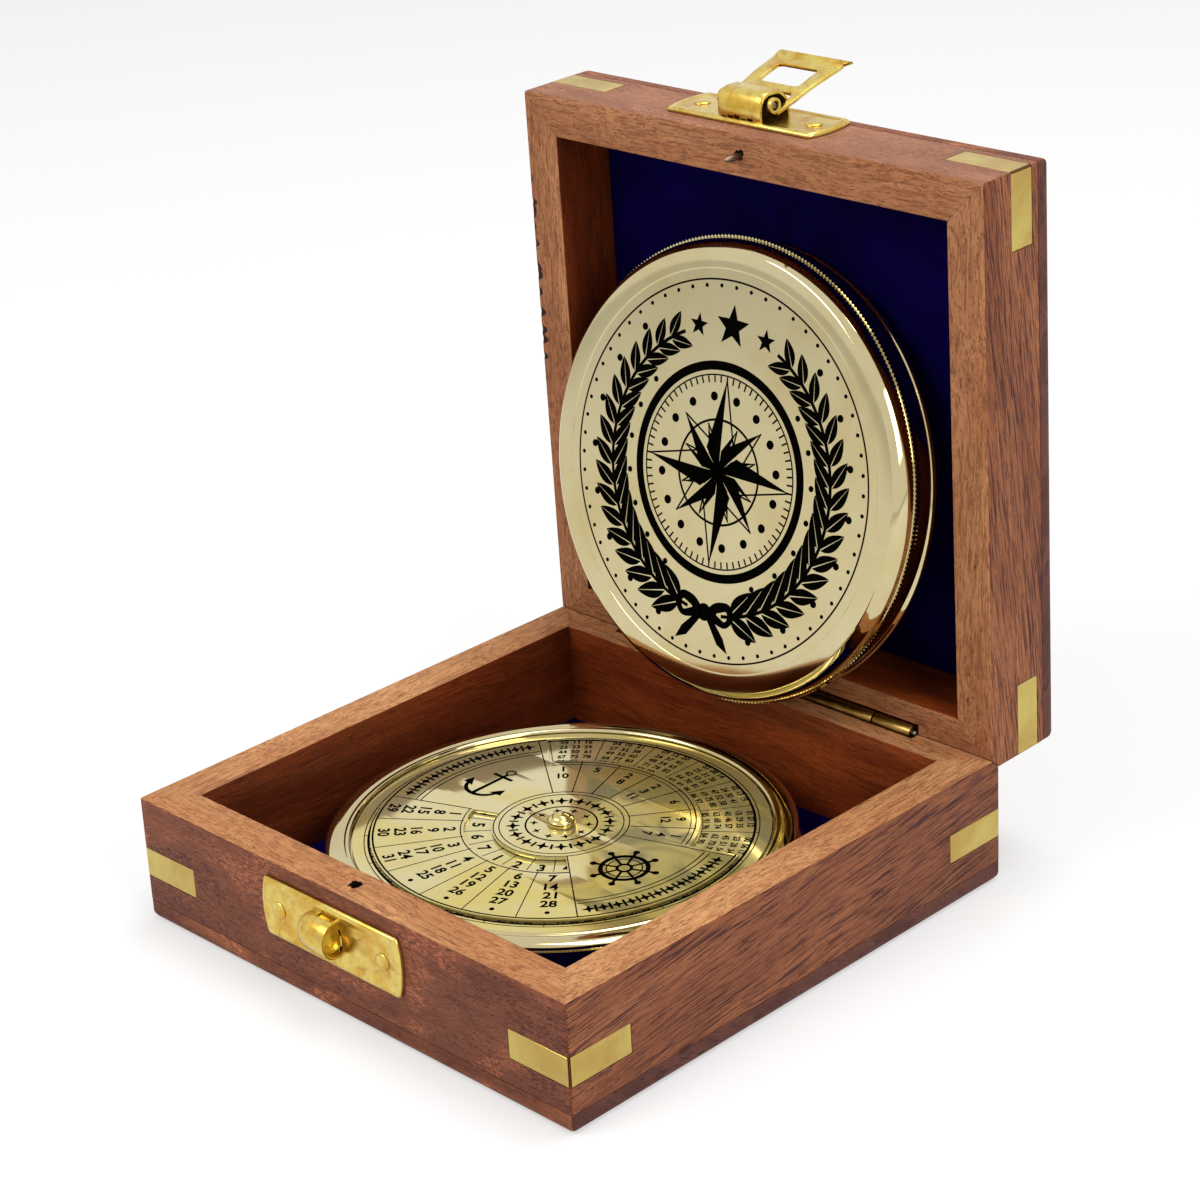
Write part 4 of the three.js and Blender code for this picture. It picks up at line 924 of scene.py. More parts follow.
def box_walls(half):
    for number, side in enumerate(SIDES):
        wall = mitred_wall(side, half.low, half.high, half.rim == half.high).mesh()
        mesh = carved(wall, wall_cuts(half, side))
        sort_wood(mesh, half, side)
        offset = 211.0 * number + half.grain_from
        if side in ("front", "rear"):
            grain_on(mesh, lambda x, y, z: (x + offset, z + offset * 0.37, y * 0.6))
        else:
            grain_on(mesh, lambda x, y, z: (y + offset, z + offset * 0.37, x * 0.6))
        skin = {"front": half.front_wood, "left": wood_figured}.get(side, wood_streaked)
        # Inside faces take the inside wood with its painted shade; the rear wall takes the lighter copy with
        # painted light.
        lining = rear_lining_painted_light if side == "rear" else wood_inside_stain_and_shade
        woods = (skin, half.rim_wood, lining, pin_hole_painted_shade, wood_chip)
        dressed(f"{half.name}_{side}_board", mesh, half.place, woods, half.body, "stained_wood",
                [f"{half.name}_{side}_wall"], crease=35, broad=12.0)


def panel(low, high, rounded_at_top, rounding):
    """A panel as large as the box, its outer edges rounded over away from the box."""
    steps = 6
    levels = [(GLUE_LINE, 0.0), (0.0, GLUE_LINE)]
    depth = high - low
    for k in range(steps + 1):
        angle = math.radians(90 * k / steps)
        levels.append((rounding * (1 - math.cos(angle)), depth - rounding * (1 - math.sin(angle))))
    rows = []
    for inward, level in levels:
        reach = HALF - inward - PANEL_CORNER
        z = low + level if rounded_at_top else high - level
        row = []
        for quarter, (sx, sy) in enumerate(((1, 1), (-1, 1), (-1, -1), (1, -1))):
            corner = arc_points(PANEL_CORNER, 90 * quarter, 90 * quarter + 90, steps)
            row += [(sx * reach + x, sy * reach + y, z) for x, y in corner]
        rows.append(row)
    return Shape().loft(rows)


def box_panel(half, name, node, made):
    """The bottom or the lid's top, with end grain on its left and right edges."""
    board = made.mesh()
    grain_on(board, lambda x, y, z: (x + 470, y + z + 33, z))
    for face in board.polygons:
        face.material_index = 1 if abs(face.normal.x) > 0.6 else 0
    dressed(name, board, half.place, (wood_panel, wood_end), half.body, "stained_wood", [node],
            crease=35, broad=40.0)


for half in HALVES:
    box_walls(half)
box_panel(BASE_HALF, "base_bottom_board", "base_bottom_panel", panel(0, BOTTOM_PANEL, False, FOOT_ROUNDING))
box_panel(LID_HALF, "lid_top_board", "lid_top_panel",
          panel(CLOSED_HEIGHT - TOP_PANEL, CLOSED_HEIGHT, True, TOP_ROUNDING))

# Velvet linings


def velvet_sheet(back, face, seed):
    """A stretched sheet whose pile side undulates a little and rolls down at its edges."""
    steps = 48
    up = 1 if face > back else -1
    places = [LINING_HALF * (2 * i / steps - 1) for i in range(steps + 1)]
    shape = Shape()
    backs, faces = [], []
    for x in places:
        pile = []
        for y in places:
            edge = min(LINING_HALF - abs(x), LINING_HALF - abs(y))
            roll = 0.12 * max(0.0, 1 - edge / 1.2) ** 2
            wave = 0.07 * noise.noise(Vector((x * 0.09, y * 0.09, seed)))
            pile.append((x, y, face - up * (roll + 0.05 + wave)))
        backs.append(shape.ring([(x, y, back) for y in places]))
        faces.append(shape.ring(pile))
    for layer in (backs, faces):
        for one, two in zip(layer, layer[1:]):
            shape.bridge(one, two, False)
    for j in (0, steps):
        shape.bridge([row[j] for row in backs], [row[j] for row in faces], False)
        shape.bridge(backs[j], faces[j], False)
    return shape


base_velvet = dressed("base_velvet_sheet", velvet_sheet(3.4, 3.92, 2.5), BASE, (velvet,), "box_base",
                      "blue_velvet", ["base_velvet_lining"], crease=50)
lid_velvet = dressed("lid_velvet_sheet", velvet_sheet(34.4, 33.1, 8.5), LID, (velvet,), "box_lid",
                     "blue_velvet", ["lid_velvet_lining"], crease=50)

# Inlays and hinge


def inlay_strip(face, end, height):
    """A brass strip let in flush, its end at the arris cut back to clear its neighbour."""
    rise = INLAY_WIDTH / 2
    outline = [(0, -rise), (INLAY_LENGTH, -rise), (INLAY_LENGTH, rise), (0, rise)]
    rows = []
    for depth, inward in ((INLAY_THICKNESS, 0.0), (0.06, 0.0), (0.0, 0.06)):
        row = []
        for along, up in eased(inset(outline, inward), 0.15, 2, True):
            far = HALF - INLAY_FROM_ARRIS - (along if along > 1 else along + depth)
            row.append((*SIDES[face](END_SIGN[end] * far, depth), height + up))
        rows.append(row)
    return Shape().loft(rows)


for half in HALVES:
    for face in SIDES:
        for end in ENDS[face]:
            strip = inlay_strip(face, end, half.inlays_at)
            dressed(f"{half.name}_brass_strip_{face}_{end}", strip, half.place, (inlay_brass,), half.body,
                    "inlay_brass", [f"{half.name}_inlay_{face}_{end}"])


def hinge_leaf(knuckles, way):
    """A leaf with its rolled knuckles; way is 1 for the leaf that goes up into the lid."""
    leaf = Shape()
    near, far = HINGE_AT.y - LEAF_HALF, HINGE_AT.y + LEAF_HALF
    for start, end in knuckles:
        profile = [(BORE_RADIUS, start), (BARREL_RADIUS, start), (BARREL_RADIUS, end), (BORE_RADIUS, end)]
        leaf.join(Shape().turned(eased(profile, 0.12, 2, True), 40, True).moved(AT_HINGE))
    for start, end in knuckles:
        z = sorted((BASE_HEIGHT + way * 1.1, BASE_HEIGHT + way * 2.2))
        leaf.block(start + 0.1, end - 0.1, near, far, *z)
    z = sorted((BASE_HEIGHT + way * 1.9, BASE_HEIGHT + way * LEAF_DEPTH))
    return leaf.block(-HINGE_HALF, HINGE_HALF, near, far, *z)


def round_pin(radius, half, sides=24):
    profile = [(0, -half), (radius, -half), (radius, half), (0, half)]
    return Shape().turned(eased(profile, radius * 0.5, 3), sides)


dressed("base_hinge_leaf_rolled", hinge_leaf(BASE_KNUCKLES, -1), BASE, (hinge_brass,), "box_base",
        "hinge_brass", ["base_hinge_leaf"])
dressed("lid_hinge_leaf_rolled", hinge_leaf(LID_KNUCKLES, 1), LID, (hinge_brass,), "box_lid",
        "hinge_brass", ["lid_hinge_leaf"])
dressed("hinge_pin_rod", round_pin(PIN_RADIUS, PIN_HALF), BASE @ AT_HINGE, (pin_steel,), "box_base",
        "pin_steel", ["hinge_pin"])

# Latch


def plate_outline(inwards):
    """Anticlockwise, with bowed ends and its corners just taken off."""
    rise, half = PLATE_RISE - inwards, PLATE_HALF - inwards
    steps, corner = 8, 0.25
    ends = [(half - corner, -rise)]
    for k in range(steps + 1):
        share = 0.95 * (2 * k / steps - 1)
        ends.append((half + PLATE_BULGE * (1 - share * share), rise * share))
    ends.append((half - corner, rise))
    return ends + [(-x, -y) for x, y in ends]


def latch_plate():
    """A stamped plate with a raised edge: each step is how far in it lies, and how high."""
    steps = [(0.0, 0.0), (0.0, 0.4), (0.12, 0.62), (0.35, 0.78), (0.85, 0.8), (1.2, 0.66), (1.7, 0.64)]
    return Shape().loft([[(*p, h) for p in plate_outline(i)] for i, h in steps])


def half_round(stations, base, sides=14):
    """A half barrel lying on the plate: stations give its place along the plate, radius and height."""
    rows = []
    for u, radius, rise in stations:
        row = [(u, -radius, base)]
        for k in range(sides + 1):
            angle = math.pi * k / sides
            row.append((u, -radius * math.cos(angle), PLATE_THICKNESS + rise * math.sin(angle)))
        row.append((u, radius, base))
        rows.append(row)
    return Shape().loft(rows)


def nail(side):
    """A round-headed nail of the plate, with its point in the wood."""
    radius, height, steps = 1.45, 0.34, 5
    profile = [(0, height + 0.02)]
    for k in range(1, steps + 1):
        angle = math.radians(90 * k / steps)
        profile.append((radius * math.sin(angle), height * math.cos(angle) + 0.02))
    profile += [(1.4, -0.1), (0.6, 0.0), (0.6, -4.0), (0, -5.2)]
    return Shape().turned(profile, 24).moved(Matrix.Translation((side * NAIL_AT, 0, PLATE_THICKNESS - 0.1)))


def base_latch():
    """A half barrel open at its right end, over a shallow round recess with two slots."""
    dome = [math.radians(d) for d in (6, 20, 36, 52, 70, 90)]
    left = [(-5.2 + 2.8 * (1 - math.cos(t)), 1.9 + 1.2 * math.sin(t), 1.2 + 1.75 * math.sin(t)) for t in dome]
    outer = half_round(left + [(1.7, 3.15, 2.95)], 0.3)
    hollow = half_round([(0.0, 2.0, 1.7), (0.5, 2.6, 2.3), (2.3, 2.8, 2.55)], -0.5)
    notch = Shape().block(-2.2, 1.4, 2.65, 4.2, 0.4, 1.25)
    shell = softened(carved(outer.mesh(), [hollow, notch]), 0.13, 2)
    ball, centre = 5.09, 4.59
    angles = [math.radians(4 * k) for k in range(1, 9)]
    scoop = [(ball * math.sin(t), centre - ball * math.cos(t)) for t in angles]
    recess = Shape().turned([(0, centre - ball)] + scoop + [(0, 1.2)], 40)
    recess.moved(Matrix.Translation((3.1, 0, 0.92)))
    slots = [Shape().block(1.95, 2.6, v - 0.5, v + 0.5, -1, 4) for v in (-1.35, 1.35)]
    plate = softened(carved(latch_plate().mesh(), [recess] + slots), 0.06, 1)
    rolls = [math.radians(a) for a in range(0, 360, 45)]
    crease = [[(2.3 + 0.22 * math.cos(t), v, 0.3 + 0.28 * math.sin(t)) for t in rolls] for v in (-0.9, 0.9)]
    return merged([plate, shell, Shape().loft(crease).mesh()])


def lid_latch():
    """A chunky pressed cowl, open at its right end, with a torn gap along its front."""
    section = eased([(-4.5, 0.3), (-4.6, 3.2), (-3.3, 5.3), (0.6, 5.3), (2.7, 3.0), (2.7, 0.3)], 1.3, 5)
    middle_v, middle_h = -0.95, 2.0
    low = 0.3

    def row(u, grow, lift):
        """The section at one place along the plate, made larger or smaller."""
        across = [middle_v + (v - middle_v) * grow for v, h in section]
        up = [max(low, middle_h + (h - middle_h) * lift) for v, h in section]
        return [(u, v, h) for v, h in zip(across, up)]

    rows = []
    for angle in (0, 15, 32, 50, 70, 90):
        back, rise = 1 - math.cos(math.radians(angle)), math.sin(math.radians(angle))
        rows.append(row(-4.65 + 1.1 * back, 0.84 + 0.16 * rise, 0.82 + 0.18 * rise))
    rows += [row(3.2, 1.0, 1.0), row(4.2, 0.99, 0.97), row(4.6, 0.95, 0.92)]
    inner = [(middle_v + (v - middle_v) * 0.84, middle_h + (h - middle_h) * 0.84 - 0.1) for v, h in section]
    inner[0], inner[-1] = (inner[0][0], -0.5), (inner[-1][0], -0.5)
    tools = [Shape().loft([[(u, v, h) for v, h in inner] for u in (-3.2, 6.0)])]
    for k in range(5):
        u = -3.6 + 1.35 * k
        tools.append(Shape().block(u, -2.35 + 1.35 * k, -5.4, -4.0, low, 1.0 + 0.22 * (k % 3)))
    cowl = softened(carved(Shape().loft(rows).mesh(), tools), 0.14, 2)
    for corner in cowl.vertices:
        u, v, h = (noise.noise(corner.co * 0.5 + Vector(place)) * DENT_DEPTH for place in DENT_PLACES)
        corner.co += Vector((u * 0.4, v * 0.4, -abs(h)))
    slit = Shape().block(-3.9, 3.0, -4.42, -3.95, -1, 2)
    return merged([softened(carved(latch_plate().mesh(), [slit]), 0.05, 1), cowl])


def hasp_blank():
    """The flat sheet of the hasp: two arms with loops above, a window and a lip below."""
    lip = HASP_REACH + 1.9
    half, neck = HASP_HALF, HASP_NECK
    root = neck + 0.95
    outline = [(-root, 0.0), (-neck, 0.0), (-neck, 5.2), (neck, 5.2), (neck, 0.0), (root, 0.0),
               (half - 0.6, 6.5), (half, 12.5), (half + 0.1, 15.0), (half + 1.5, lip), (-half + 0.5, lip),
               (-half, lip - 0.6), (-half + 0.4, 5.5)]
    radii = [0, 0, 0.9, 0.9, 0, 0, 1.5, 1.5, 0, 0.1, 0.3, 0.3, 1.5]
    window = [(-4.2, 7.0), (-4.2, 12.4), (4.2, 12.4), (4.2, 7.0)]
    return flat_plate([eased(outline, radii, 4, True), eased(window, 0.8, 4, True)], 0, 0.6, 0.08)


def hasp():
    """A sprung frame bent from sheet, hanging from its pin as when it is shut."""
    mesh = hasp_blank()
    with opened(mesh) as work:
        for level in [4.0 + 1.0 * k for k in range(10)] + [HASP_REACH + 0.32 * k for k in range(6)]:
            geometry = work.verts[:] + work.edges[:] + work.faces[:]
            bmesh.ops.bisect_plane(work, geom=geometry, dist=1e-4, plane_co=(0, level, 0), plane_no=(0, 1, 0))
    for corner in mesh.vertices:
        u, q, t = corner.co
        if q > HASP_REACH:
            angle = (q - HASP_REACH) / 3.7
            reach = 4.0 - t
            corner.co = (u, 2.3 - reach * math.cos(angle), -HASP_REACH - reach * math.sin(angle))
        else:
            bow = 0.25 * math.sin(math.pi * (q - 3) / (HASP_REACH - 3)) if q > 3 else 0.0
            corner.co = (u, -1.7 + t + bow, -q)
    loops = Shape()
    for side in (-1, 1):
        profile = eased([(0.75, -0.46), (1.3, -0.46), (1.3, 0.46), (0.75, 0.46)], 0.1, 2, True)
        at = Matrix.Translation((side * (HASP_NECK + 0.48), 0, 0)) @ ALONG_X
        loops.join(Shape().turned(profile, 40, True).moved(at))
    return merged([mesh, loops.mesh()])


def bent_pin():
    """The alignment pin, a nail shank that has been knocked a little out of line."""
    top, length, steps = 26.5, 8.0, 12
    shank, tip = 0.58, {11: 0.5, 12: 0.28}
    rows = []
    for k in range(steps + 1):
        level = top - length * k / steps
        off = 0.3 * max(0.0, (LID_RIM + 0.05 - level) / 3.1) ** 1.4
        rows.append([(off * -0.9 + x, PIN_HOLE_Y + y, level) for x, y in around(tip.get(k, shank), 16)])
    return Shape().loft(rows)


dressed("base_latch_stamped_plate", base_latch(), BASE @ AT_BASE_LATCH, (latch_brass,), "box_base",
        "latch_brass", ["base_latch_plate"], crease=40)
dressed("lid_latch_stamped_plate", lid_latch(), LID @ AT_LID_LATCH, (latch_brass,), "box_lid",
        "latch_brass", ["lid_latch_plate"], crease=40)
for side, sign in (("left", -1), ("right", 1)):
    dressed(f"base_latch_round_nail_{side}", nail(sign), BASE @ AT_BASE_LATCH, (latch_brass,), "box_base",
            "latch_brass", [f"base_latch_nail_{side}"])
    dressed(f"lid_latch_round_nail_{side}", nail(sign), LID @ AT_LID_LATCH, (latch_brass,), "box_lid",
            "latch_brass", [f"lid_latch_nail_{side}"])
dressed("hasp_frame", hasp(), LID @ AT_HASP, (latch_brass,), "hasp", "latch_brass", ["latch_hasp"], crease=40)
dressed("hasp_pin_rod", round_pin(HASP_PIN_RADIUS, HASP_PIN_HALF),
        LID @ Matrix.Translation(HASP_AXIS) @ ALONG_X, (pin_steel,), "box_lid", "pin_steel", ["latch_pin"])
dressed("alignment_nail_shank", bent_pin(), LID, (pin_steel,), "box_lid", "pin_steel", ["alignment_pin"])

# Rows of repeated marks


def row_of_marks():
    """Marks set along an arc: count, radius, ends of the arc, tilt, and a swing to alternate it."""
    tree = bpy.data.node_groups.new("row_of_marks", "GeometryNodeTree")
    kinds = {"Mark": "NodeSocketObject", "Finish": "NodeSocketMaterial", "Count": "NodeSocketInt"}
    for name in ("Radius", "Start", "Step", "Tilt", "Swing", "Size", "Last Size"):
        kinds[name] = "NodeSocketFloat"
    for name, kind in kinds.items():
        tree.interface.new_socket(name=name, in_out="INPUT", socket_type=kind)
    tree.interface.new_socket(name="Marks", in_out="OUTPUT", socket_type="NodeSocketGeometry")
    bench = Bench(tree)
    entry = tree.nodes.new("NodeGroupInput")
    given = {name: Tap(bench, entry.outputs[name]) for name in kinds}
    index = bench.node("GeometryNodeInputIndex")
    angle = given["Start"] + given["Step"] * index
    spot = bench.node("ShaderNodeCombineXYZ", (), {
        "X": given["Radius"] * bench.maths("COSINE", angle),
        "Y": given["Radius"] * bench.maths("SINE", angle),
    })
    points = bench.node("GeometryNodePoints", (), {"Count": given["Count"], "Position": spot})
    swing = given["Tilt"] + given["Swing"] * (1 - (index % 2) * 2)
    turn = bench.node("ShaderNodeCombineXYZ", (), {"Z": angle + swing})
    share = index / given["Count"]
    size = given["Size"] + (given["Last Size"] - given["Size"]) * share
    mark = bench.node(
        "GeometryNodeObjectInfo", {"transform_space": "ORIGINAL"}, {"Object": given["Mark"]}, "Geometry"
    )
    rows = bench.node("GeometryNodeInstanceOnPoints", (), {
        "Points": points, "Instance": mark, "Rotation": turn, "Scale": size,
    })
    real = bench.node("GeometryNodeRealizeInstances", (), {0: rows})
    painted = bench.node("GeometryNodeSetMaterial", (), {"Geometry": real, "Material": given["Finish"]})
    leave = tree.nodes.new("NodeGroupOutput")
    tree.links.new(painted.socket, leave.inputs["Marks"])
    return tree


MARK_ROW = row_of_marks()


def marks(mark, finish, count, radius, start=0.0, step=None, tilt=0.0, swing=0.0, size=1.0, last=None):
    """A row of marks as one shape; angles in degrees."""
    pattern = on_bench(mark.mesh("mark"), "mark")
    holder = on_bench(bpy.data.meshes.new("row"), "row")
    run = holder.modifiers.new("row", "NODES")
    run.node_group = MARK_ROW
    values = {
        "Mark": pattern, "Finish": finish.material, "Count": count, "Radius": float(radius),
        "Start": math.radians(start), "Step": math.radians(step if step is not None else 360 / count),
        "Tilt": math.radians(tilt), "Swing": math.radians(swing), "Size": float(size),
        "Last Size": float(size if last is None else last),
    }
    for socket in MARK_ROW.interface.items_tree:
        if socket.in_out == "INPUT":
            run[socket.identifier] = values[socket.name]
    mesh = evaluated(holder)
    bpy.data.objects.remove(pattern)
    row = shape_of(mesh)
    bpy.data.meshes.remove(mesh)
    return row


# Print and engraving

SUNK, PROUD = 0.012, 0.02
figures = {}


def figure_mesh(text):
    """A number as a closed mesh one unit high and one unit thick."""
    if text not in figures:
        curve = bpy.data.curves.new("figure", "FONT")
        curve.body = text
        curve.extrude = 0.5
        curve.offset = 0.028
        curve.resolution_u = 3
        curve.align_x = "CENTER"
        mesh = welded(evaluated(on_bench(curve, "figure")))
        bpy.data.curves.remove(curve)
        xs, ys = [v.co.x for v in mesh.vertices], [v.co.y for v in mesh.vertices]
        middle = Vector(((min(xs) + max(xs)) / 2, (min(ys) + max(ys)) / 2, 0))
        tall = max(ys) - min(ys)
        corners = [((v.co.x - middle.x) / tall, (v.co.y - middle.y) / tall, v.co.z) for v in mesh.vertices]
        figures[text] = corners, [list(f.vertices) for f in mesh.polygons]
        bpy.data.meshes.remove(mesh)
    return figures[text]


class Print(Shape):
    """Black lines and figures on a face, a hair proud of it."""

    def patch(self, outline):
        return self.prism(outline, -SUNK, PROUD)

    def circle(self, radius, width, sides=192):
        near, far = radius - width / 2, radius + width / 2
        return self.turned([(near, -SUNK), (far, -SUNK), (far, PROUD), (near, PROUD)], sides, True)

    def arc(self, radius, width, start, end):
        steps = max(4, int(abs(end - start) / 2))
        far = arc_points(radius + width / 2, start, end, steps)
        near = arc_points(radius - width / 2, start, end, steps)
        return self.patch(far + near[::-1])

    def line(self, start, end, width, end_width=None):
        start, end = Vector(start), Vector(end)
        way = (end - start).normalized()
        one = Vector((-way.y, way.x)) * width / 2
        two = one if end_width is None else Vector((-way.y, way.x)) * end_width / 2
        return self.patch([tuple(p) for p in (start - one, end - two, end + two, start + one)])

    def spoke(self, angle, near, far, width):
        return self.line(polar(near, angle), polar(far, angle), width)

    def dot(self, centre, radius, sides=16):
        return self.patch([(centre[0] + x, centre[1] + y) for x, y in around(radius, sides)])

    def star(self, centre, radius, points=5, inner=0.42, turn=90):
        outline = []
        for k in range(points * 2):
            x, y = polar(radius if k % 2 == 0 else radius * inner, turn + 180 * k / points)
            outline.append((centre[0] + x, centre[1] + y))
        return self.patch(outline)

    def number(self, text, angle, radius, height, tops_out=True, wide=1.0):
        """A number centred at an angle and radius, its top outwards or towards the middle."""
        corners, faces = figure_mesh(text)
        c, s = polar(1, angle - 90 if tops_out else angle + 90)
        x0, y0 = polar(radius, angle)
        thick = SUNK + PROUD
        placed = [(x0 + (x * c * wide - y * s) * height, y0 + (x * s * wide + y * c) * height,
                   z * thick + (PROUD - SUNK) / 2) for x, y, z in corners]
        return self.add(placed, faces)


def tick(length, width):
    return Print().line((-length / 2, 0), (length / 2, 0), width)


def dot(radius):
    return Print().dot((0, 0), radius)


def plate_print():
    """The fixed plate: year numbers round its edge, weekday numbers round its middle."""
    columns = 21
    cell = 360 / columns
    # The 0.4 wide black ring at 30.6, just outside the turning disc's edge, is painted shadow of the gap
    # under the disc.
    made = Print().circle(31.3, 0.16).circle(30.6, 0.4).circle(22.3, 0.12).circle(16.0, 0.12)
    for column in range(columns):
        edge = 19.0 + cell * column
        made.spoke(edge, 22.3, 31.3, 0.14).spoke(edge, 10.6, 16.0, 0.14)
        made.number(str(column % 7 + 1), edge + cell / 2, 13.4, 2.1, False)
        years = [y for y in range(100) if (y + y // 4) % 7 == column % 7]
        for place, year in enumerate(years):
            ring, seat = divmod(place, 3)
            radius = 29.9 - 1.75 * ring
            angle = edge + cell / 2 + (1 - seat) * 4.4 * 27 / radius
            made.number(f"{year:02d}", angle, radius, 1.15, True, 0.95)
    return made.shifted(0, 0, PLATE_FACE)


DATE_LINES = (201, 216, 235, 251, 269, 285, 302, 320)
MONTH_LINES = (142.7, 126, 108.4, 91, 71.3, 52.6, 35, 18.4)
MONTHS = ((1, 10), (5,), (2, 8), (2, 3, 11), (6,), (9, 12), (1, 4, 7))
DAYS = 31


def anchor(made, x, y, tall):
    """A plain anchor, upright."""
    top, foot = y + tall / 2, y - tall / 2
    made.join(Print().circle(0.75, 0.3, 24).shifted(x, top - 0.75))
    made.line((x, top - 1.5), (x, foot + 0.3), 0.5, 0.75)
    made.line((x - 2.1, top - 2.6), (x + 2.1, top - 2.6), 0.6)
    for side in (-1, 1):
        bow = [(side * 3.6 * math.sin(math.radians(a)), foot + 3.4 - 3.4 * math.cos(math.radians(a)))
               for a in range(0, 81, 10)]
        inner = [(px * 0.86, py + 0.75 - 0.3 * k / 8) for k, (px, py) in enumerate(bow)]
        made.patch([(x + px, py) for px, py in bow + inner[::-1]])
        tip = (x + side * 3.5, foot + 2.7)
        made.patch([(tip[0] - side * 1.5, tip[1] - 0.4), (tip[0] + side * 0.75, tip[1] - 0.1),
                    (tip[0] + side * 0.15, tip[1] + 1.7)])


def ship_wheel(made, x, y, radius):
    """A spoked steering wheel with turned handles."""
    wheel = Print().circle(radius * 0.66, 0.75, 48).circle(radius * 0.5, 0.22, 48)
    wheel.circle(radius * 0.2, 0.5, 32)
    for k in range(8):
        angle = 22.5 + 45 * k
        wheel.spoke(angle, radius * 0.2, radius * 0.62, 0.42)
        wheel.spoke(angle, radius * 0.7, radius * 0.84, 0.5)
        wheel.dot(polar(radius * 0.92, angle), 0.55)
    made.join(wheel.shifted(x, y))


def sector_band(made, start, end):
    """Double arc and a band of small upright ornaments at the disc's edge."""
    made.arc(25.0, 0.2, start, end).arc(25.9, 0.2, start, end)
    radius, pitch = 27.9, 4.6
    count = int((end - start) / pitch)
    first = (start + end - pitch * (count - 1)) / 2
    made.join(marks(Print().star((0, 0), 1.15, 4, 0.38, 0), ink, count, radius, first, pitch))
    made.join(marks(tick(2.0, 0.42), ink, count - 1, radius, first + pitch / 2, pitch))


def disc_print():
    """The turning disc: days in seven columns, months, two ornament bands, an anchor and a wheel."""
    made = Print().circle(9.9, 0.18).circle(10.8, 0.18)
    first_line, last_line = DATE_LINES[0], DATE_LINES[-1]
    for angle in DATE_LINES:
        made.spoke(angle, 15.7, 29.9, 0.2 if angle in (first_line, last_line) else 0.16)
    made.arc(16.0, 0.18, first_line, last_line)
    for column in range(7):
        middle = (DATE_LINES[column] + DATE_LINES[column + 1]) / 2
        for row in range(5):
            day = column + 1 + 7 * row
            radius = 17.7 + 2.62 * row
            if day <= DAYS:
                made.number(str(day), middle, radius, 2.0, False)
            else:
                made.dot(polar(radius, middle), 0.42)
    for angle in MONTH_LINES:
        made.spoke(angle, 10.8, 21.5 if 20 < angle < 140 else 29.9, 0.18)
    made.arc(21.3, 0.2, 20.5, 139.5).arc(20.5, 0.14, 20.5, 139.5)
    for column, months in enumerate(MONTHS):
        middle = (MONTH_LINES[column] + MONTH_LINES[column + 1]) / 2
        for place, month in enumerate(months):
            made.number(str(month), middle, 18.9 - 2.4 * place, 1.7)
    made.spoke(-40, 10.8, 29.9, 0.2)
    sector_band(made, 143.2, 200.5)
    sector_band(made, -39.5, 17.8)
    # The disc's printed edge line, drawn thick here as painted shadow of the gap between the disc and the
    # plate.
    made.arc(29.9, 0.3, 140.2, 379.8)
    anchor(made, -18.8, 2.8, 10.0)
    ship_wheel(made, 17.8, -4.0, 5.6)
    made.join(marks(Print().star((0, 0), 1.25, 4, 0.36, 0), ink, 16, 7.7))
    made.join(marks(tick(1.5, 0.4), ink, 16, 7.7, 11.25))
    made.circle(5.7, 0.3)
    made.join(marks(Print().star((0, 0), 0.8, 4, 0.34, 0), ink, 10, 4.4))
    return made.shifted(0, 0, DISC_FACE)


def leaf():
    """One leaf with a bright midrib: two black halves along X."""
    made = Print()
    length, steps = 5.6, 8
    shares = [k / steps for k in range(steps)]
    for side in (-1, 1):
        edge = [(length * t, side * (0.13 + 1.15 * math.sin(math.pi * t ** 0.8))) for t in shares]
        made.patch(edge + [(length, side * 0.02), (0.0, side * 0.1)])
    return made


def rose_point(made, angle, reach, hip_at, hip_out):
    """One point of the rose: its left half black, its right half an outline."""
    c, s = polar(1, angle)
    tip = (reach * c, reach * s)
    for side in (-1, 1):
        hip = (hip_at * c - side * hip_out * s, hip_at * s + side * hip_out * c)
        if side > 0:
            made.patch([(0.0, 0.0), tip, hip])
        else:
            made.line(tip, hip, 0.3)
            made.line(hip, (0.0, 0.0), 0.3)


def wreath_branch(made, side):
    """A stem with leaves to both sides and berries, from the bow at the bottom upwards."""
    start, stem = 270 + side * 9, 23.6
    made.arc(stem, 0.6, start, start + side * 146)
    for tilt in (1, -1):
        made.join(marks(leaf(), ink, 17, stem + tilt * 0.3, start + side * 5, side * 8.3,
                        tilt=side * (90 - tilt * 36), size=1.14, last=0.82))
    made.join(marks(dot(0.62), ink, 8, 27.8, start + side * 12, side * 16.6))
    made.join(marks(dot(0.5), ink, 7, 19.7, start + side * 20, side * 16.6))


def bow(made, side):
    """A loop and a tail of the ribbon that ties the wreath."""
    loop = [(0, -23.4), (2.2, -21.2), (5.4, -20.7), (6.8, -23.0), (5.0, -25.4), (2.0, -24.8)]
    hollow = [(2.4, -23.2), (4.8, -22.2), (5.2, -23.2), (4.6, -24.2)]
    tail = [(0.4, -24.2), (3.4, -28.2), (5.8, -29.2), (4.6, -26.9), (1.6, -23.9)]
    loop, hollow, tail = ([(side * x, y) for x, y in outline] for outline in (loop, hollow, tail))
    made.join(shape_of(flat_plate([eased(loop, 1.3, 4, True), eased(hollow, 0.5, 3, True)], -SUNK, PROUD)))
    made.patch(tail)


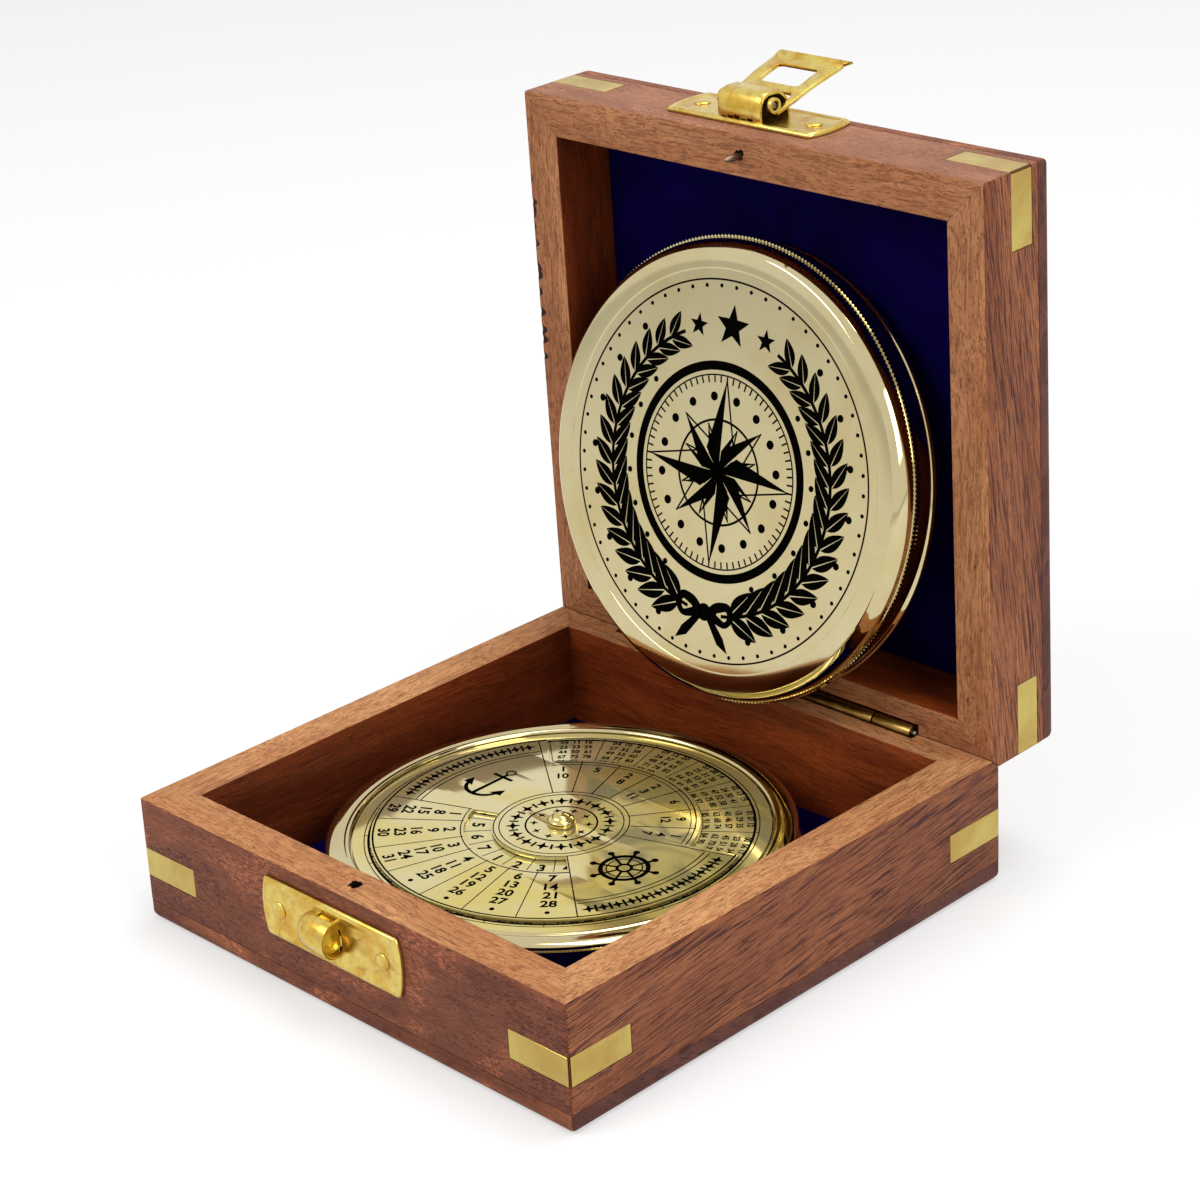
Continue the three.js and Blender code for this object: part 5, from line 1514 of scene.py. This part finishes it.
def lid_engraving():
    """The engraved face: a compass rose in a tied leaf wreath, with stars."""
    made = Print().circle(17.4, 1.5, 160).circle(15.9, 0.25, 160).circle(8.6, 0.4, 120)
    made.join(marks(tick(1.1, 0.3), ink, 72, 15.2))
    made.join(marks(dot(0.75), ink, 16, 12.4, 11.25))
    for count, first, *sizes in ((8, 22.5, 8.2, 3.4, 1.2), (4, 45, 11.6, 3.4, 2.4), (4, 0, 15.2, 3.6, 3.0)):
        for k in range(count):
            rose_point(made, first + 360 / count * k, *sizes)
    made.dot((0, 0), 1.7, 32)
    for side in (-1, 1):
        wreath_branch(made, side)
        bow(made, side)
    for x, y, radius in ((0, 24.0, 3.6), (-7.2, 23.0, 2.0), (7.2, 23.0, 2.0)):
        made.star((x, y), radius)
    made.dot((0, -23.5), 1.5)
    made.circle(31.3, 0.3, 192)
    return made.join(marks(dot(0.34), ink, 60, 30.3))


# Compasses


def ridge():
    """One ridge of the knurling, in cross section pointing outwards."""
    return Shape().prism([(-0.3, -0.3), (0.0, -0.3), (0.28, 0.0), (0.0, 0.3), (-0.3, 0.3)], -0.55, 0.55)


def screw_lid():
    """A flat face inside a bead, a rounded shoulder and a knurled skirt, open below."""
    profile = [(0, FACE_LEVEL), (33.0, FACE_LEVEL), (33.15, 0.12), (36.1, 0.12), (36.25, 0.2), (37.1, 0.9),
               (37.65, 2.0), (37.85, 3.2), (37.95, 3.3), (37.95, 4.3), (37.85, 4.4), (36.75, 4.4),
               (36.75, 1.7), (0, 1.7)]
    radii = [0, 0.06, 0.06, 0.05, 0.05, 0.8, 1.0, 0.08, 0.08, 0.08, 0.08, 0.05, 0.1, 0]
    knurl = marks(ridge(), compass_brass, KNURL_RIDGES, KNURL_RADIUS).shifted(0, 0, KNURL_LEVEL)
    return Shape().turned(eased(profile, radii, 4)).join(knurl)


def bowl():
    """Both sides' turned housing, with the seat of the glass below and the rim of the calendar above."""
    profile = [(RIVET_HOLE, 7.9), (34.6, 7.9), (34.6, 3.8), (35.2, 3.8), (35.2, 2.0), (36.4, 2.0),
               (36.4, 4.7), (36.9, 4.7), (36.9, 8.4), (37.2, 8.7), (37.4, 9.1), (37.4, 9.5),
               (36.6, 9.9), (35.2, 10.0), (34.5, 9.8), (34.2, 10.0), (33.8, 10.0), (33.5, 9.7),
               (33.5, 8.8), (RIVET_HOLE, 8.8)]
    radii = [0, 0.1, 0.05, 0.05, 0.1, 0.1, 0.05, 0.1, 0.15, 0.1,
             0.2, 0.3, 0.5, 0.4, 0.15, 0.12, 0.15, 0.15, 0.1, 0]
    return Shape().turned(eased(profile, radii, 3, True), RIM_SIDES, True)


def plain_ring(inner, outer, low, high, ease=0.06):
    profile = [(inner, low), (outer, low), (outer, high), (inner, high)]
    return Shape().turned(eased(profile, ease, 2, True), RIM_SIDES, True)


def date_disc():
    """The turning disc: notched outside its month cells, with the weekday window and its hole."""
    outer = arc_points(DISC_RADIUS, NOTCH_END, NOTCH_START + 360, 170)
    outer += arc_points(NOTCH_RADIUS, NOTCH_START, NOTCH_END, 80)
    window = arc_points(WINDOW_OUTER, 201, 319, 80) + arc_points(WINDOW_INNER, 319, 201, 60)
    hole = arc_points(RIVET_HOLE, 0, 360, 32)[:-1]
    return flat_plate([outer, window, hole], DISC_BACK, DISC_FACE, 0.03)


def rivet():
    """A peened rivet: its head is hammered into soft uneven facets."""
    profile = [(0, 7.3), (2.0, 7.3), (2.0, 7.8), (1.2, 7.8), (1.2, 10.25), (2.3, 10.25), (2.3, 10.75),
               (2.05, 11.2), (1.5, 11.35), (1.35, 11.6), (0.8, 11.9), (0, 11.95)]
    made = Shape().turned(eased(profile, [0, 0.1, 0.1, 0, 0, 0.15, 0.3, 0.3, 0.2, 0.3, 0.3, 0], 3), 40)
    for i, (x, y, z) in enumerate(made.corners):
        if z > 10.3:
            dent = 1 - 0.09 * abs(noise.noise(Vector((x * 0.9, y * 0.9, z * 1.1 + 4))))
            made.corners[i] = (x * dent, y * dent, z)
    return made


def needle():
    """A lozenge needle with a ridge along it, on its brass cap."""
    half, wide = 27.0, 1.8
    back, edge, ridge_level = 5.3, 5.12, 4.92
    rows = []
    for x, y in ((-half, 0.05), (-half * 0.5, wide * 0.5), (0, wide), (half * 0.5, wide * 0.5), (half, 0.05)):
        rows.append([(x, -y, back), (x, -y, edge), (x, 0, ridge_level), (x, y, edge), (x, y, back)])
    cap = [(0, 4.3), (0.4, 4.3), (0.95, 5.28), (1.8, 5.28), (1.8, 4.7), (1.3, 4.1), (0.6, 3.9), (0, 3.9)]
    return Shape().loft(rows).turned(eased(cap, 0.12, 3), 32)


def card_print():
    """The compass card: degrees round its edge and a rose of eight points."""
    made = Print().circle(33.2, 0.25).circle(29.4, 0.15).circle(22.6, 0.15)
    made.join(marks(tick(1.6, 0.16), ink, 180, 32.2))
    made.join(marks(tick(3.4, 0.3), ink, 36, 31.3))
    for k in range(12):
        made.number(str(30 * k), 90 - 30 * k, 26.6, 2.6)
    for k in range(8):
        angle = 45 * k
        tip = polar(21.5 if k % 2 == 0 else 15.0, angle)
        made.line(tip, polar(4.6, angle - 22.5), 0.2)
        made.patch([polar(2.6, angle), tip, polar(4.6, angle + 22.5)])
    return made


def compass(prefix, place):
    """Every piece of one compass, from its screw lid to the ring that holds its glass."""
    lid_face = place @ Matrix.Translation((0, 0, FACE_LEVEL)) @ UPSIDE_DOWN
    card_face = place @ Matrix.Translation((0, 0, CARD_FACE)) @ UPSIDE_DOWN
    pivot = eased([(0, 4.6), (0.35, 4.95), (0.35, 6.4), (0.9, 6.5), (0.9, 7.2), (0, 7.2)], 0.08, 2)
    lens = eased([(0, 2.9), (34.9, 2.9), (34.9, 3.7), (0, 3.7)], 0.15, 2)

    def piece(name, made, finish, body, node=None, slot="compass_brass", at=place, **more):
        nodes = [f"{prefix}_{node}"] if node else ()
        dressed(f"{prefix}_{name}", made, at, (finish,), f"{prefix}_{body}", slot, nodes, **more)

    piece("turned_screw_lid", screw_lid(), compass_brass, "cover", "screw_lid")
    piece("screw_lid_engraving", lid_engraving(), ink, "cover", at=lid_face)
    piece("turned_bowl", bowl(), compass_brass, "case", "bowl")
    piece("fixed_calendar_plate", plain_ring(RIVET_HOLE, PLATE_RADIUS, 8.9, PLATE_FACE), dial_brass, "case",
          "calendar_plate")
    piece("fixed_plate_print", plate_print(), ink, "case")
    piece("turning_calendar_disc", date_disc(), dial_brass, "date_disc", "calendar_disc", broad=2.0)
    piece("turning_disc_print", disc_print(), ink, "date_disc")
    piece("peened_rivet", rivet(), hammered_brass, "case", "disc_rivet")
    piece("dial_card", plain_ring(2.4, 34.2, CARD_FACE, 7.8, 0.03), card, "case", "compass_card", "dial_card")
    piece("dial_card_print", card_print(), ink, "case", slot="dial_card", at=card_face)
    piece("blued_needle", needle(), needle_blue, "magnet_needle", "needle", "needle_steel")
    piece("pointed_pivot", Shape().turned(pivot, 32), pin_steel, "case", "pivot_pin", "pin_steel")
    piece("glass_disc", Shape().turned(lens, 128), glass, "case", "glass", "clear_glass")
    piece("spring_ring", plain_ring(34.0, 34.9, 2.2, 2.8, 0.2), compass_brass, "case", "glass_ring")


compass("lying", LYING)
compass("standing", STANDING)
